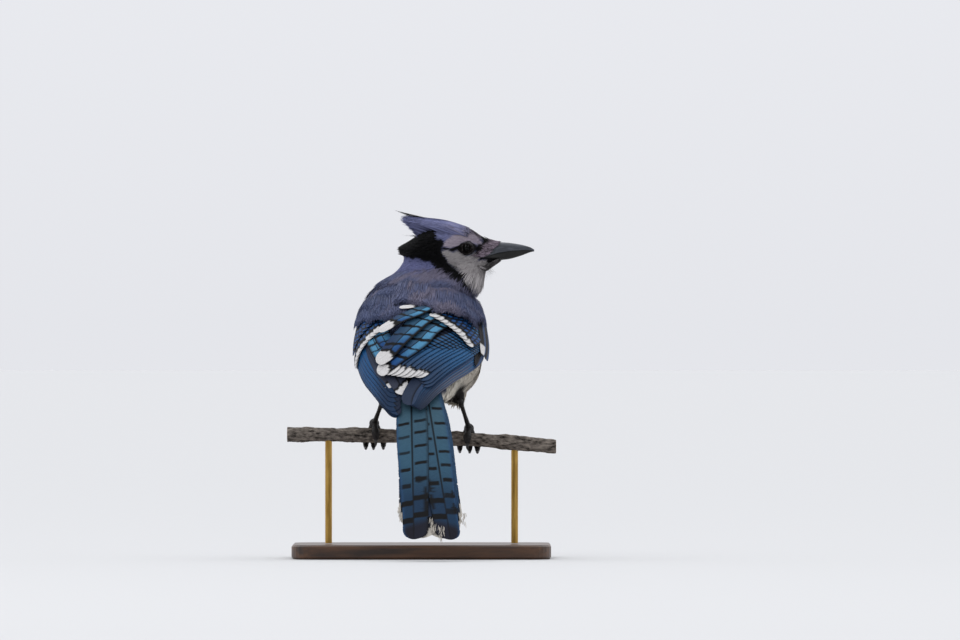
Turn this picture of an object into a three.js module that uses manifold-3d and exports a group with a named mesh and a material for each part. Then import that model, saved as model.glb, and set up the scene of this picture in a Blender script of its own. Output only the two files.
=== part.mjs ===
// A life-size blue jay perched on a short length of branch, held by a plain display stand.
// Millimetres, +Z up. The origin is the centre of the base's underside. The bird faces +Y with
// its tail towards -Y, and its head is turned so that the bill points along +X.
import * as THREE from "three";
import { mergeVertices } from "three/addons/utils/BufferGeometryUtils.js";
import Module from "manifold-3d";

const wasm = await Module();
wasm.setup();

// Driving dimensions
const GAP = 0.35; // clearance where one piece meets another
const VANE = 0.55; // thickness of a feather
const PERCH_Z = 70; // height of the branch's axis over the floor, so that the tail clears the base
const PERCH_RADIUS = 4.2;
const PERCH_HALF = 78; // half the branch's length
const BODY_PITCH = 38; // degrees that the back slopes
const BODY_Y = -8; // the body's place over the branch
const TAIL_LENGTH = 130;
const TAIL_PITCH = 44.5; // degrees below the horizon
const TAIL_LEAN = 4.5; // degrees that the tail hangs to the bird's right
const HEAD_Y = 28; // the head's middle plane, from the branch
const FOOT_X = 27.5; // each foot, from the middle
const BASE = { width: 150, depth: 112, height: 8, corner: 16, bevel: 1 };
const ROD = { radius: 2, x: 54 };

const SIDES = { left: -1, right: 1 };
const RAD = Math.PI / 180;
const vec = (x, y, z) => new THREE.Vector3(x, y, z);
const mix = (a, b, t) => a + (b - a) * t;
const clamp = (v, low, high) => Math.min(high, Math.max(low, v));

// A smooth run through a table whose rows are [place, value, value, ...], in falling order of place.
function along(table, place) {
  let i = 1;
  while (i < table.length - 1 && place < table[i][0]) i++;
  const [before, from, to, after] = [
    table[Math.max(i - 2, 0)],
    table[i - 1],
    table[i],
    table[Math.min(i + 1, table.length - 1)],
  ];
  const span = to[0] - from[0];
  const t = clamp((place - from[0]) / span, 0, 1);
  return from.slice(1).map((start, k) => {
    const end = to[k + 1];
    const leave = (span * (end - before[k + 1])) / (to[0] - before[0]);
    const arrive = (span * (after[k + 1] - start)) / (after[0] - from[0]);
    return (
      (2 * t ** 3 - 3 * t ** 2 + 1) * start +
      (t ** 3 - 2 * t ** 2 + t) * leave +
      (3 * t ** 2 - 2 * t ** 3) * end +
      (t ** 3 - t ** 2) * arrive
    );
  });
}

// A closed skin over rings of points, with an even number of points in each. Sides named in
// turned are split along their other diagonal.
function skin(rings, turned = []) {
  const sides = rings[0].length;
  const index = [];
  for (let k = 0; k < rings.length - 1; k++) {
    for (let i = 0; i < sides; i++) {
      const j = (i + 1) % sides;
      const [a, b] = [k * sides + i, k * sides + j];
      const [c, d] = [a + sides, b + sides];
      if (turned.includes(i)) index.push(a, b, c, b, d, c);
      else index.push(a, b, d, a, d, c);
    }
  }
  const last = (rings.length - 1) * sides;
  for (let i = 0; i < sides / 2 - 1; i++) {
    const [near, far] = [sides - 1 - i, sides - 2 - i];
    index.push(i, far, i + 1, i, near, far);
    index.push(last + i, last + i + 1, last + far, last + i, last + far, last + near);
  }
  return closed(rings.flat(), index);
}

// A geometry from points and triangles, with its faces pointing out.
function closed(points, index) {
  let volume = 0;
  for (let i = 0; i < index.length; i += 3) {
    const [a, b, c] = [points[index[i]], points[index[i + 1]], points[index[i + 2]]];
    volume += a.dot(b.clone().cross(c));
  }
  const facing = volume < 0 ? index.slice().reverse() : index;
  const geometry = new THREE.BufferGeometry().setFromPoints(points);
  geometry.setIndex(facing);
  return geometry;
}

// Solids that can be joined and cut, from geometry and back
function solid(geometry) {
  const bare = geometry.clone();
  bare.deleteAttribute("normal");
  bare.deleteAttribute("uv");
  const merged = mergeVertices(bare, 1e-4);
  return new wasm.Manifold(
    new wasm.Mesh({
      numProp: 3,
      vertProperties: new Float32Array(merged.attributes.position.array),
      triVerts: new Uint32Array(merged.index.array),
    }),
  );
}

function geometryOf(made) {
  const { numProp, vertProperties, triVerts } = made.getMesh();
  const position = new Float32Array((vertProperties.length / numProp) * 3);
  for (let i = 0; i < position.length / 3; i++) {
    position.set(vertProperties.subarray(i * numProp, i * numProp + 3), i * 3);
  }
  const geometry = new THREE.BufferGeometry();
  geometry.setAttribute("position", new THREE.BufferAttribute(position, 3));
  geometry.setIndex(new THREE.BufferAttribute(new Uint32Array(triVerts), 1));
  return geometry;
}

const join = (geometries) => wasm.Manifold.union(geometries.map(solid));
const cut = (made, ...tools) => tools.reduce((rest, tool) => rest.subtract(tool), made);
const largest = (made) => made.decompose().reduce((a, b) => (b.volume() > a.volume() ? b : a));

// A round tube along points, with a radius at each; up is any direction off the path
function tube(path, radii, sides, up = vec(0, 0, 1)) {
  const rings = path.map((point, k) => {
    const before = path[Math.max(k - 1, 0)];
    const after = path[Math.min(k + 1, path.length - 1)];
    const tangent = after.clone().sub(before).normalize();
    const across = tangent.clone().cross(up).normalize();
    const over = across.clone().cross(tangent);
    return Array.from({ length: sides }, (_, i) => {
      const angle = (2 * Math.PI * i) / sides;
      return point
        .clone()
        .addScaledVector(across, radii[k] * Math.cos(angle))
        .addScaledVector(over, radii[k] * Math.sin(angle));
    });
  });
  return skin(rings);
}

// The body's frame: x to the bird's right, fore along the back, rise square to the back
function inBody(x, fore, rise) {
  const [c, s] = [Math.cos(BODY_PITCH * RAD), Math.sin(BODY_PITCH * RAD)];
  return vec(x, BODY_Y + fore * c - rise * s, PERCH_Z + fore * s + rise * c);
}

// Sections of the trunk: fore, half width, middle, half depth
const TRUNK = [
  [101, 6, 33, 5],
  [98, 15, 33, 12],
  [91, 24.5, 33.5, 19.5],
  [82, 31, 33.3, 24.5],
  [70, 35.5, 32.5, 28],
  [55, 36.5, 31.5, 29.5],
  [40, 36, 31, 28.5],
  [25, 34, 32.5, 26.5],
  [10, 28.5, 36, 21],
  [-5, 21, 40, 15],
  [-18, 15, 43.5, 9],
  [-27, 12, 44.5, 7],
];
// Sections of the surface that the folded wings lie in
const FOLD = [
  [92, 31, 33, 25],
  [85, 35, 32.5, 27.8],
  [70, 38.5, 32, 31.5],
  [50, 40, 32, 32.5],
  [30, 39.5, 33, 31],
  [10, 36, 36, 26],
  [-10, 30, 41, 17.5],
  [-25, 25, 45, 10.5],
  [-41, 19, 47, 6],
  [-54, 14, 48, 4.5],
];

function onSections(table, fore, degrees, lift) {
  const [half, middle, depth] = along(table, fore);
  const angle = degrees * RAD;
  return inBody((half + lift) * Math.sin(angle), fore, middle + (depth + lift) * Math.cos(angle));
}
const onFold = (fore, degrees, lift = 0) => onSections(FOLD, fore, degrees, lift);

function trunk(grow) {
  const [sides, long] = [24, 16];
  const rings = [];
  for (let k = 0; k <= long; k++) {
    const share = k / long - 0.09 * Math.sin((2 * Math.PI * k) / long);
    const fore = mix(101 + grow, -27 - grow, share);
    rings.push(
      Array.from({ length: sides }, (_, i) => onSections(TRUNK, fore, (360 * i) / sides, grow)),
    );
  }
  return skin(rings);
}

// The way straight out of the fold
function outOfFold(fore, degrees) {
  const ahead = onFold(fore + 1, degrees).sub(onFold(fore - 1, degrees));
  const round = onFold(fore, degrees + 1).sub(onFold(fore, degrees - 1));
  return round.cross(ahead).normalize();
}

// A feather along points. outward and across are unit vectors at each point, half is the half
// width there, and tilt is how far the edge on the across side stands up where it is widest.
// ridge is how far the shaft stands up.
function vane({ points, outward, across, half, tilt = 0, ridge = 0, grow = 0 }) {
  const slope = tilt / Math.max(...half);
  const rings = points.map((point, k) => {
    const at = (side, face, rise = 0) =>
      point
        .clone()
        .addScaledVector(across[k], side * (half[k] + grow))
        .addScaledVector(outward[k], side * slope * half[k] + rise + face * (VANE / 2 + grow));
    return ridge
      ? [at(1, 1), at(0, 1, ridge), at(-1, 1), at(-1, -1), at(0, -1, ridge), at(1, -1)]
      : [at(1, 1), at(-1, 1), at(-1, -1), at(1, -1)];
  });
  return skin(rings, ridge ? [3, 4] : [2]);
}

// How the half width of a flight feather runs from its quill to its round tip
const LONG = [0, 0.35, 0.7, 0.9, 1];
const SHORT = [0, 0.5, 0.86, 1];
function taper(t, point) {
  const quill = mix(0.5, 1, clamp(t / 0.5, 0, 1));
  const end = t < 0.75 ? 1 : mix(1, point, ((t - 0.75) / 0.25) ** 2);
  return quill * end;
}

// A feather lying in the fold. root and tip are [fore, degrees, lift], and bow bends its way.
function foldFeather(side, feather, grow = 0) {
  const { root, tip, half, steps = LONG, tilt = 0.5, bow = 1.2, point = 0.35, ridge = 0 } = feather;
  const place = (t) => [
    mix(root[0], tip[0], t),
    mix(root[1], tip[1], Math.max(t, 0) ** bow) * side,
    mix(root[2], tip[2], t),
  ];
  const points = steps.map((t) => onFold(...place(t)));
  const outward = steps.map((t) => outOfFold(...place(t)));
  const across = steps.map((t, k) => {
    const way = onFold(...place(t + 0.01)).sub(onFold(...place(t - 0.01)));
    return outward[k].clone().cross(way).normalize().multiplyScalar(side);
  });
  const halves = steps.map((t) => half * taper(t, point));
  return vane({ points, outward, across, half: halves, tilt, ridge, grow });
}

// A row of feathers, with each value mixed between the first one and the last
function featherRow(count, first, last, shared = {}) {
  return Array.from({ length: count }, (_, i) => {
    const t = i / (count - 1);
    const between = (a, b) => (Array.isArray(a) ? a.map((v, k) => mix(v, b[k], t)) : mix(a, b, t));
    const feather = { ...shared };
    for (const key of Object.keys(first)) feather[key] = between(first[key], last[key]);
    return feather;
  });
}

// The feathers of the folded right wing, which lies over the left one
const RIGHT_FEATHERS = [
  // tertials
  { root: [50, 20, -1.5], tip: [27, -38, 2.9], half: 6.4, ridge: 0.3, bow: 1.1 },
  { root: [45, 28, -1.8], tip: [7, -46, 2.3], half: 7.4, ridge: 0.3, bow: 1.1 },
  { root: [41, 37, -1.9], tip: [-6, -40, 1.6], half: 7.4, ridge: 0.3, bow: 1.15 },
  // secondaries
  ...featherRow(
    5,
    { root: [38, 46, -1.9], tip: [-12, -31, 0.9], half: 4.7, tilt: 1.3 },
    { root: [35, 68, -2], tip: [-19, -3, -0.3], half: 4.2, tilt: 1.3 },
    { bow: 1.25 },
  ),
  // primaries
  ...featherRow(
    5,
    { root: [36, 73, -2.1], tip: [-27, -17, -1.4], half: 4.8, bow: 1.4 },
    { root: [44, 87, -2.2], tip: [-42, -6, -3.2], half: 4, bow: 1.8 },
    { tilt: 1.2 },
  ),
  { root: [50, 90, -2.2], tip: [-35, 10, -3.6], half: 3.2, bow: 1.8, tilt: 1 },
  { root: [54, 92, -2.2], tip: [-17, 42, -3.8], half: 2.6, bow: 1.7, tilt: 1 },
  // primary coverts, along the leading edge
  ...featherRow(
    3,
    { root: [52, 80, -1.9], tip: [24, 68, -1.2], half: 3.4 },
    { root: [66, 95, -2.2], tip: [38, 94, -1.8], half: 2.6 },
    { tilt: 0.5, steps: SHORT },
  ),
  // greater coverts
  ...featherRow(
    6,
    { root: [48, 24, -1.9], tip: [32, 16, 0.9], half: 3 },
    { root: [40, 68, -1.9], tip: [22, 54, 0.5], half: 3 },
    { tilt: 0.6, steps: SHORT, point: 0.55 },
  ),
  // median coverts
  ...featherRow(
    6,
    { root: [60, 30, -1.8], tip: [45, 26, 1.3], half: 3.2 },
    { root: [54, 82, -1.9], tip: [36, 72, 0.1], half: 3.2 },
    { tilt: 0.6, steps: SHORT, point: 0.55 },
  ),
];

const LEFT_FEATHERS = [
  // tertials
  { root: [50, 46, -1.6], tip: [16, 26, -1.8], half: 5.4, ridge: 0.3, bow: 1.1 },
  { root: [46, 54, -1.8], tip: [3, 30, -2.2], half: 5.6, ridge: 0.3, bow: 1.1 },
  { root: [42, 61, -1.9], tip: [-12, 28, -2.6], half: 5.6, ridge: 0.3, bow: 1.1 },
  // secondaries
  ...featherRow(
    5,
    { root: [38, 66, -1.9], tip: [-28, 22, -2.6], half: 4.2, tilt: 1.3 },
    { root: [35, 82, -2.1], tip: [-27, 52, -1.8], half: 3.6, tilt: 1.3 },
    { bow: 1.2 },
  ),
  // primaries
  ...featherRow(
    5,
    { root: [36, 84, -2.1], tip: [-33, 52, -2.7], half: 3.5, bow: 1.5 },
    { root: [44, 93, -2.2], tip: [-42, 70, -3.7], half: 3.1, bow: 1.9 },
    { tilt: 1.2 },
  ),
  { root: [50, 95, -2.2], tip: [-38, 80, -4], half: 2.6, bow: 2, tilt: 1 },
  { root: [54, 96, -2.2], tip: [-18, 92, -4.1], half: 2.4, bow: 2, tilt: 1 },
  // primary coverts, along the leading edge
  ...featherRow(
    3,
    { root: [52, 88, -1.9], tip: [22, 84, -1.7], half: 3.4 },
    { root: [66, 96, -2.2], tip: [36, 98, -2], half: 2.6 },
    { tilt: 0.5, steps: SHORT },
  ),
  // greater coverts
  ...featherRow(
    6,
    { root: [44, 40, -1.9], tip: [27, 33, 0.4], half: 3 },
    { root: [38, 84, -1.9], tip: [20, 78, -0.5], half: 3 },
    { tilt: 0.6, steps: SHORT, point: 0.55 },
  ),
  // median coverts
  ...featherRow(
    6,
    { root: [58, 42, -1.8], tip: [42, 40, 0.9], half: 3.2 },
    { root: [52, 90, -1.9], tip: [35, 87, -0.8], half: 3.2 },
    { tilt: 0.6, steps: SHORT, point: 0.55 },
  ),
];
const FEATHERS = { left: LEFT_FEATHERS, right: RIGHT_FEATHERS };

// The padded shoulder of a folded wing: fore, upper and lower edge in degrees, lift of its crown,
// and how deep its edges are. It lies on the trunk.
const SHOULDERS = {
  left: [
    [91, 36, 104, -2.2, 3],
    [70, 30, 102, -0.3, 4],
    [50, 36, 99, -0.5, 4],
    [38, 44, 97, -1, 3],
    [30, 54, 94, -1.8, 1.6],
  ],
  right: [
    [91, 36, 104, -2.2, 3],
    [70, 24, 102, -0.3, 4],
    [50, 14, 98, -0.5, 4],
    [38, 22, 92, -1, 3],
    [30, 40, 82, -1.8, 1.6],
  ],
};

function shoulder(name, grow = 0) {
  const side = SIDES[name];
  const table = SHOULDERS[name];
  const [long, round] = [8, 6];
  const rings = [];
  for (let k = 0; k <= long; k++) {
    const fore = mix(91 + grow, 30 - grow, k / long);
    const [upper, lower, lift, thick] = along(table, fore);
    const degrees = (i) => mix(upper, lower, i / round) * side;
    const bulge = (i) => Math.sqrt(Math.sin((Math.PI * (i + 0.35)) / (round + 0.7)));
    const over = (i) => onFold(fore, degrees(i), lift + grow - thick * 0.6 * (1 - bulge(i)));
    const under = (i) => onSections(TRUNK, fore, degrees(i), 1.9 * GAP - grow);
    const order = Array.from({ length: round + 1 }, (_, i) => i);
    rings.push([...order.map(over), ...order.reverse().map(under)]);
  }
  const turned = Array.from({ length: round }, (_, i) => round + 1 + i);
  return skin(rings, turned);
}

function wing(name, grow = 0) {
  const feathers = FEATHERS[name].map((feather) => foldFeather(SIDES[name], feather, grow));
  return join([shoulder(name, grow), ...feathers]);
}

// Tail: a dozen feathers in a shallow roof, the middle pair on top and longest
const TAIL_ROOT = [0, -50, PERCH_Z + 32];
function inTail(down, across, over) {
  const [c, s] = [Math.cos(TAIL_PITCH * RAD), Math.sin(TAIL_PITCH * RAD)];
  const lean = Math.tan(TAIL_LEAN * RAD) * s;
  return vec(
    TAIL_ROOT[0] + across + down * lean,
    TAIL_ROOT[1] - down * c - over * s,
    TAIL_ROOT[2] - down * s + over * c,
  );
}

// The coverts that the tail feathers grow from: distance down the tail, half width, thickness
const TAIL_COVERTS = [
  [30, 9, 3.4],
  [20, 11.5, 5.6],
  [8, 11.5, 7],
  [-8, 9, 8],
];

function tailBase(grow) {
  const rings = [];
  for (let k = 0; k <= 5; k++) {
    const down = mix(30 + grow, -8 - grow, k / 5);
    const [half, thick] = along(TAIL_COVERTS, down);
    rings.push(
      Array.from({ length: 12 }, (_, i) => {
        const angle = (2 * Math.PI * i) / 12;
        const over = (thick / 2 + grow) * Math.sin(angle) - 2.4;
        return inTail(down, (half + grow) * Math.cos(angle), over);
      }),
    );
  }
  return skin(rings);
}

const TAIL_PAIRS = 6;
function tailFeather(side, pair, grow) {
  const length = TAIL_LENGTH - 1.4 * pair - 0.45 * pair ** 2;
  const root = side * (4.5 + 0.25 * pair);
  const tip = side * (8.2 + 0.45 * pair);
  const over = -0.85 * pair - (side < 0 ? 0.2 : 0);
  const place = (t) => inTail(mix(5, length - 4, t), mix(root, tip, t), over - 1.5 * t ** 2);
  const points = LONG.map(place);
  const outward = LONG.map(() => inTail(0, 0, 1).sub(inTail(0, 0, 0)).normalize());
  const across = LONG.map(() => vec(side, 0, 0));
  const half = LONG.map((t) => 8.4 * (t ? mix(0.76, 1, t) : 0.6) * (t > 0.95 ? 0.55 : 1));
  return vane({ points, outward, across, half, tilt: -0.5, ridge: pair ? 0 : 0.3, grow });
}

function tail(grow = 0) {
  const pieces = [tailBase(grow)];
  for (const side of Object.values(SIDES)) {
    for (let pair = 0; pair < TAIL_PAIRS; pair++) pieces.push(tailFeather(side, pair, grow));
  }
  return join(pieces);
}

// Head: sections square to the bill: x, half width, crown and throat over the branch
const HEAD = [
  [44, 4.5, 113.3, 102],
  [41, 7, 114.8, 98.6],
  [36, 9.6, 117.4, 95.4],
  [30, 11.8, 121.2, 93.8],
  [24, 13.4, 123.8, 93.2],
  [17, 14.6, 125.2, 93],
  [9, 15, 124.6, 93.6],
  [2, 13.8, 121, 95.4],
  [-4, 11.2, 116, 98.4],
  [-8, 8, 112.4, 100.6],
  [-11, 2.4, 108.4, 104.4],
];
const inHead = (x, y, z) => vec(x, HEAD_Y + y, PERCH_Z + z);
function headPoint(x, degrees, grow) {
  const [half, top, bottom] = along(HEAD, x);
  const [middle, tall] = [(top + bottom) / 2, (top - bottom) / 2];
  const angle = degrees * RAD;
  return inHead(x, -(half + grow) * Math.sin(angle), middle + (tall + grow) * Math.cos(angle));
}
function skull(grow) {
  const rings = [];
  for (let k = 0; k <= 13; k++) {
    const share = k / 13 - 0.06 * Math.sin((2 * Math.PI * k) / 13);
    const x = mix(44 + grow, -11 - grow, share);
    rings.push(Array.from({ length: 20 }, (_, i) => headPoint(x, 18 * i, grow)));
  }
  return skin(rings);
}

// Neck: level sections: height over the branch, middle x, middle y, half width, half depth
const NECK = [
  [108, 13, 28.5, 22, 12],
  [98, 12, 29.5, 26.5, 16.5],
  [90, 5.5, 29.5, 31, 21.5],
  [82, 2, 27.5, 29.5, 23.5],
  [74, 1, 25, 28, 21.5],
];
function neck(grow) {
  const rings = [];
  for (let k = 0; k <= 5; k++) {
    const height = mix(108 + grow, 74 - grow, k / 5);
    const [x, y, wide, deep] = along(NECK, height);
    rings.push(
      Array.from({ length: 20 }, (_, i) => {
        const angle = (2 * Math.PI * i) / 20;
        return vec(
          x + (wide + grow) * Math.cos(angle),
          y + (deep + grow) * Math.sin(angle),
          PERCH_Z + height,
        );
      }),
    );
  }
  return skin(rings);
}

// Bill: x, half width, culmen, mouth line and lower edge over the branch
const BILL = [
  [65.6, 0.35, 108.9, 108.2, 107.9],
  [63, 1.1, 110.5, 108.3, 107.2],
  [58, 2.1, 111.8, 108.1, 105.4],
  [51, 3.3, 112.9, 107.8, 103.4],
  [44, 4.3, 113.5, 107.2, 102.6],
  [38, 4.8, 114, 105.6, 102.4],
];
function bill(upper, grow = 0) {
  const rings = [];
  for (let k = 0; k <= 7; k++) {
    const x = mix(65.6, 38, k / 7);
    const [half, top, mouth, bottom] = along(BILL, x);
    const way = upper ? 1 : -1;
    const seam = mouth + way * (GAP / 2 - grow);
    const tall = (upper ? top : bottom) + way * grow - seam;
    rings.push(
      Array.from({ length: 8 }, (_, i) => {
        const angle = (Math.PI * i) / 7;
        const y = (half + grow) * Math.cos(angle);
        return inHead(x, y, seam + tall * Math.sin(angle) ** 0.85);
      }),
    );
  }
  return skin(rings);
}

// Eyes: the bird's right eye looks towards -Y
const EYE = { x: 26.1, z: 109.6, radius: 4.3, sunk: 2.4 };
const LID = { ring: 3.95, thick: 0.75, wide: 1.12 };
function eyeCentre(side, sunk = EYE.sunk) {
  const [half] = along(HEAD, EYE.x);
  return inHead(EYE.x, side * (sunk - half), EYE.z);
}
function ball(centre, radius, detail) {
  return new THREE.IcosahedronGeometry(radius, detail).translate(centre.x, centre.y, centre.z);
}
function lids(side) {
  const centre = eyeCentre(side, 0.45);
  return new THREE.TorusGeometry(LID.ring, LID.thick, 5, 14)
    .scale(LID.wide, 1, 1)
    .rotateX(Math.PI / 2)
    .rotateZ(side * 0.14)
    .translate(centre.x, centre.y, centre.z);
}

// A lock of feathers on a bent way from root over bend to tip, widest part way along
const LOCK = [0, 0.35, 0.7, 1];
function lock({ root, bend, tip, half, up, tilt = 0, thick = 0.9 }) {
  const way = new THREE.QuadraticBezierCurve3(root, bend, tip);
  const rings = LOCK.map((t) => {
    const tangent = way.getTangent(t);
    const across = tangent.clone().cross(up).normalize();
    const outward = across.clone().cross(tangent).addScaledVector(across, tilt).normalize();
    const side = outward.clone().cross(tangent).normalize();
    const wide = half * (t < 0.35 ? 0.9 : mix(1, 0.12, ((t - 0.35) / 0.65) ** 1.5));
    const deep = mix(thick, 0.3, t ** 1.5);
    const at = (i, j) =>
      way.getPoint(t).addScaledVector(side, i * wide).addScaledVector(outward, j * deep);
    return [at(1, 0), at(0, 1), at(-1, 0), at(0, -1)];
  });
  return skin(rings);
}

// The crest: x and height of each lock's root, bend and tip, how far off the middle, half width
const CREST = [
  { root: [20, 121.5], bend: [4, 127], tip: [-9.5, 129], off: 0, half: 3.4 },
  { root: [10, 121], bend: [-6, 126.5], tip: [-16, 132], off: 0.6, half: 1.4 },
  { root: [18, 120.5], bend: [3, 125.6], tip: [-11.5, 127], off: 2.6, half: 3 },
  { root: [15, 119], bend: [2, 123.6], tip: [-9, 124.6], off: 4.6, half: 3 },
  { root: [12, 117], bend: [1, 121], tip: [-6, 121.6], off: 6.4, half: 3 },
  { root: [8, 114.5], bend: [0, 117.8], tip: [-2.5, 118.4], off: 8, half: 2.8 },
];
function crest() {
  return CREST.flatMap(({ root, bend, tip, off, half }) => {
    const sides = off > 1 ? [-1, 1] : [1];
    return sides.map((side) =>
      lock({
        root: inHead(root[0], side * off, root[1]),
        bend: inHead(bend[0], side * off * 1.05, bend[1]),
        tip: inHead(tip[0] + side * 0.8, side * off * 0.55, tip[1]),
        half,
        up: vec(0, side * off * 0.12, 1),
        thick: 0.7 * half,
      }),
    );
  });
}

// The ruff round the nape, in two tiers of locks
const RUFF_TIERS = [
  { count: 5, x: 0, z: 113, reach: 15.2, fall: 3, spread: 58 },
  { count: 5, x: 0, z: 107.5, reach: 14.6, fall: 2.6, spread: 64 },
];
function ruff() {
  return RUFF_TIERS.flatMap(({ count, x, z, reach, fall, spread }) =>
    Array.from({ length: count }, (_, i) => {
      const angle = mix(-spread, spread, i / (count - 1)) * RAD;
      const way = vec(-Math.cos(angle), Math.sin(angle), 0);
      const far = reach * (1 - 0.16 * (i % 2));
      const start = inHead(x + 5, 0, z).addScaledVector(way, 7);
      const end = inHead(x, 0, z - fall).addScaledVector(way, far);
      return lock({
        root: start,
        bend: start.clone().lerp(end, 0.55).add(vec(0, 0, 1.2)),
        tip: end,
        half: 4,
        up: vec(0, 0, 1).addScaledVector(way, 0.5),
        thick: 1.6,
      });
    }),
  );
}

// Bristles that cover the nostrils, at the sides of the bill's root
function bristles() {
  return [-1, 1].flatMap((side) =>
    [0, 1, 2].map((i) =>
      lock({
        root: inHead(36.5, side * (5.2 - 0.9 * i), 109.5 + 2.2 * i),
        bend: inHead(41, side * (7 - 1.1 * i), 110.8 + 2.1 * i),
        tip: inHead(46.5 - i, side * (5.1 - 1.3 * i), 110 + 2.1 * i),
        half: 1.1,
        up: vec(0, side, 0.7 * i),
        thick: 0.6,
      }),
    ),
  );
}

// The corner of the mouth, a slit that runs back into the cheeks
function gape() {
  const way = [
    [45, 107.4],
    [38, 105.6],
    [34.5, 103.3],
  ];
  const rings = way.map(([x, z]) => {
    const at = (y, rise) => inHead(x, y, z + rise);
    return [at(-12, 0.25), at(12, 0.25), at(12, -0.25), at(-12, -0.25)];
  });
  return skin(rings);
}

// Perch: how far its axis falls and sways, and its radius, along x
const perchDrop = (x) => -0.045 * x - 0.00035 * x ** 2;
const perchSway = (x) => 0.6 * Math.sin(x / 17);
const perchRadius = (x) => PERCH_RADIUS + 0.3 * Math.sin(x / 7);
function perch(grow) {
  const steps = 20;
  const path = [];
  const radii = [];
  for (let k = 0; k <= steps; k++) {
    const x = mix(-PERCH_HALF - grow, PERCH_HALF + grow, k / steps);
    path.push(vec(x, perchSway(x), PERCH_Z + perchDrop(x)));
    radii.push(perchRadius(x) + grow);
  }
  return tube(path, radii, 8);
}

// Legs
const heel = (side) => vec(side * 22.5, -30, PERCH_Z + 21);
const onPerch = (x, degrees, reach) => {
  const far = perchRadius(x) + reach;
  const angle = degrees * RAD;
  return vec(x, perchSway(x) + far * Math.sin(angle), PERCH_Z + perchDrop(x) + far * Math.cos(angle));
};
const PAD = 2.2; // radius of the ball of the foot
const ankle = (side) => onPerch(side * FOOT_X, -6, GAP + PAD);

const THIGH = [0, 0.3, 0.6, 0.85, 0.98];
function thigh(side, grow = 0) {
  const hip = vec(side * 17, -2, PERCH_Z + 31);
  const path = THIGH.map((t) => hip.clone().lerp(heel(side), t));
  return tube(path, [12, 11, 7.5, 4.2, 2.6].map((r) => r + grow), 10);
}

// Locks that hang off the thigh round the heel, but for its lower side
function trousers(side) {
  const hip = vec(side * 17, -2, PERCH_Z + 31);
  const start = hip.clone().lerp(heel(side), 0.5);
  return [-25, 30, 85, 140, 195].map((degrees, i) => {
    const out = vec(side * Math.cos(degrees * RAD), 0, Math.sin(degrees * RAD));
    const end = hip.clone().lerp(heel(side), 1.06 + 0.1 * (i % 2));
    return lock({
      root: start.clone().addScaledVector(out, 4.6),
      bend: start.clone().lerp(end, 0.6).addScaledVector(out, 6.4),
      tip: end.addScaledVector(out, 4.6),
      half: 2.8,
      up: out,
      thick: 1,
    });
  });
}

function tarsus(side) {
  const [top, bottom] = [heel(side), ankle(side)];
  const path = [-0.06, 0.04, 0.16, 0.5, 0.85, 1].map((t) => top.clone().lerp(bottom, t));
  return tube(path, [1.6, 2.2, 1.5, 1.2, 1.4, 1.7], 6);
}

// Toes wrap the branch: degrees round it from the top, forward positive
const TOES = [
  { name: "inner", from: 4, to: 122, splay: -6.5, radius: 1.25 },
  { name: "middle", from: 4, to: 142, splay: 0, radius: 1.35 },
  { name: "outer", from: 4, to: 128, splay: 6.5, radius: 1.25 },
  { name: "hind", from: -16, to: -112, splay: -1, radius: 1.5 },
];
const KNUCKLES = 0.12; // how far the joints of a toe swell
function toe(side, { from, to, splay, radius }, grow = 0) {
  const steps = 5;
  const path = [];
  const radii = [];
  for (let k = 0; k <= steps; k++) {
    const t = k / steps;
    const x = side * (FOOT_X + splay * Math.min(1, 1.4 * t));
    path.push(onPerch(x, mix(from, to, t), GAP + radius));
    radii.push(radius * (1 + KNUCKLES * Math.cos(3 * Math.PI * t)) * mix(1, 0.8, t) + grow);
  }
  return tube(path, radii, 6, vec(1, 0, 0));
}
function claw(side, { to, splay, radius }) {
  const turn = Math.sign(to);
  const x = side * (FOOT_X + splay);
  const steps = [0, 0.25, 0.55, 0.8, 1];
  const path = steps.map((t) => {
    const reach = GAP + radius + 3.6 * t ** 1.6;
    return onPerch(x, to + turn * mix(5.5, 42, t), reach);
  });
  return tube(path, steps.map((t) => mix(0.95, 0.14, t)), 6, vec(1, 0, 0));
}
function foot(side, grow = 0) {
  const pad = ball(ankle(side), PAD + grow, 1);
  return join([pad, ...TOES.map((spec) => toe(side, spec, grow))]);
}

// Display stand
function standBase() {
  const { width, depth, height, corner, bevel } = BASE;
  const [w, d, r] = [width / 2 - bevel, depth / 2 - bevel, corner - bevel];
  const outline = new THREE.Shape();
  outline.moveTo(-w + r, -d);
  outline.lineTo(w - r, -d);
  outline.absarc(w - r, -d + r, r, -Math.PI / 2, 0);
  outline.absarc(w - r, d - r, r, 0, Math.PI / 2);
  outline.absarc(-w + r, d - r, r, Math.PI / 2, Math.PI);
  outline.absarc(-w + r, -d + r, r, Math.PI, 1.5 * Math.PI);
  return new THREE.ExtrudeGeometry(outline, {
    depth: height - 2 * bevel,
    bevelEnabled: true,
    bevelThickness: bevel,
    bevelSize: bevel,
    bevelSegments: 1,
    curveSegments: 4,
  }).translate(0, 0, bevel);
}
function standRod(side) {
  const x = side * ROD.x;
  const top = PERCH_Z + perchDrop(x);
  return new THREE.CylinderGeometry(ROD.radius, ROD.radius, top - BASE.height - GAP, 16)
    .rotateX(Math.PI / 2)
    .translate(x, 0, (top + BASE.height + GAP) / 2);
}

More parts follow.
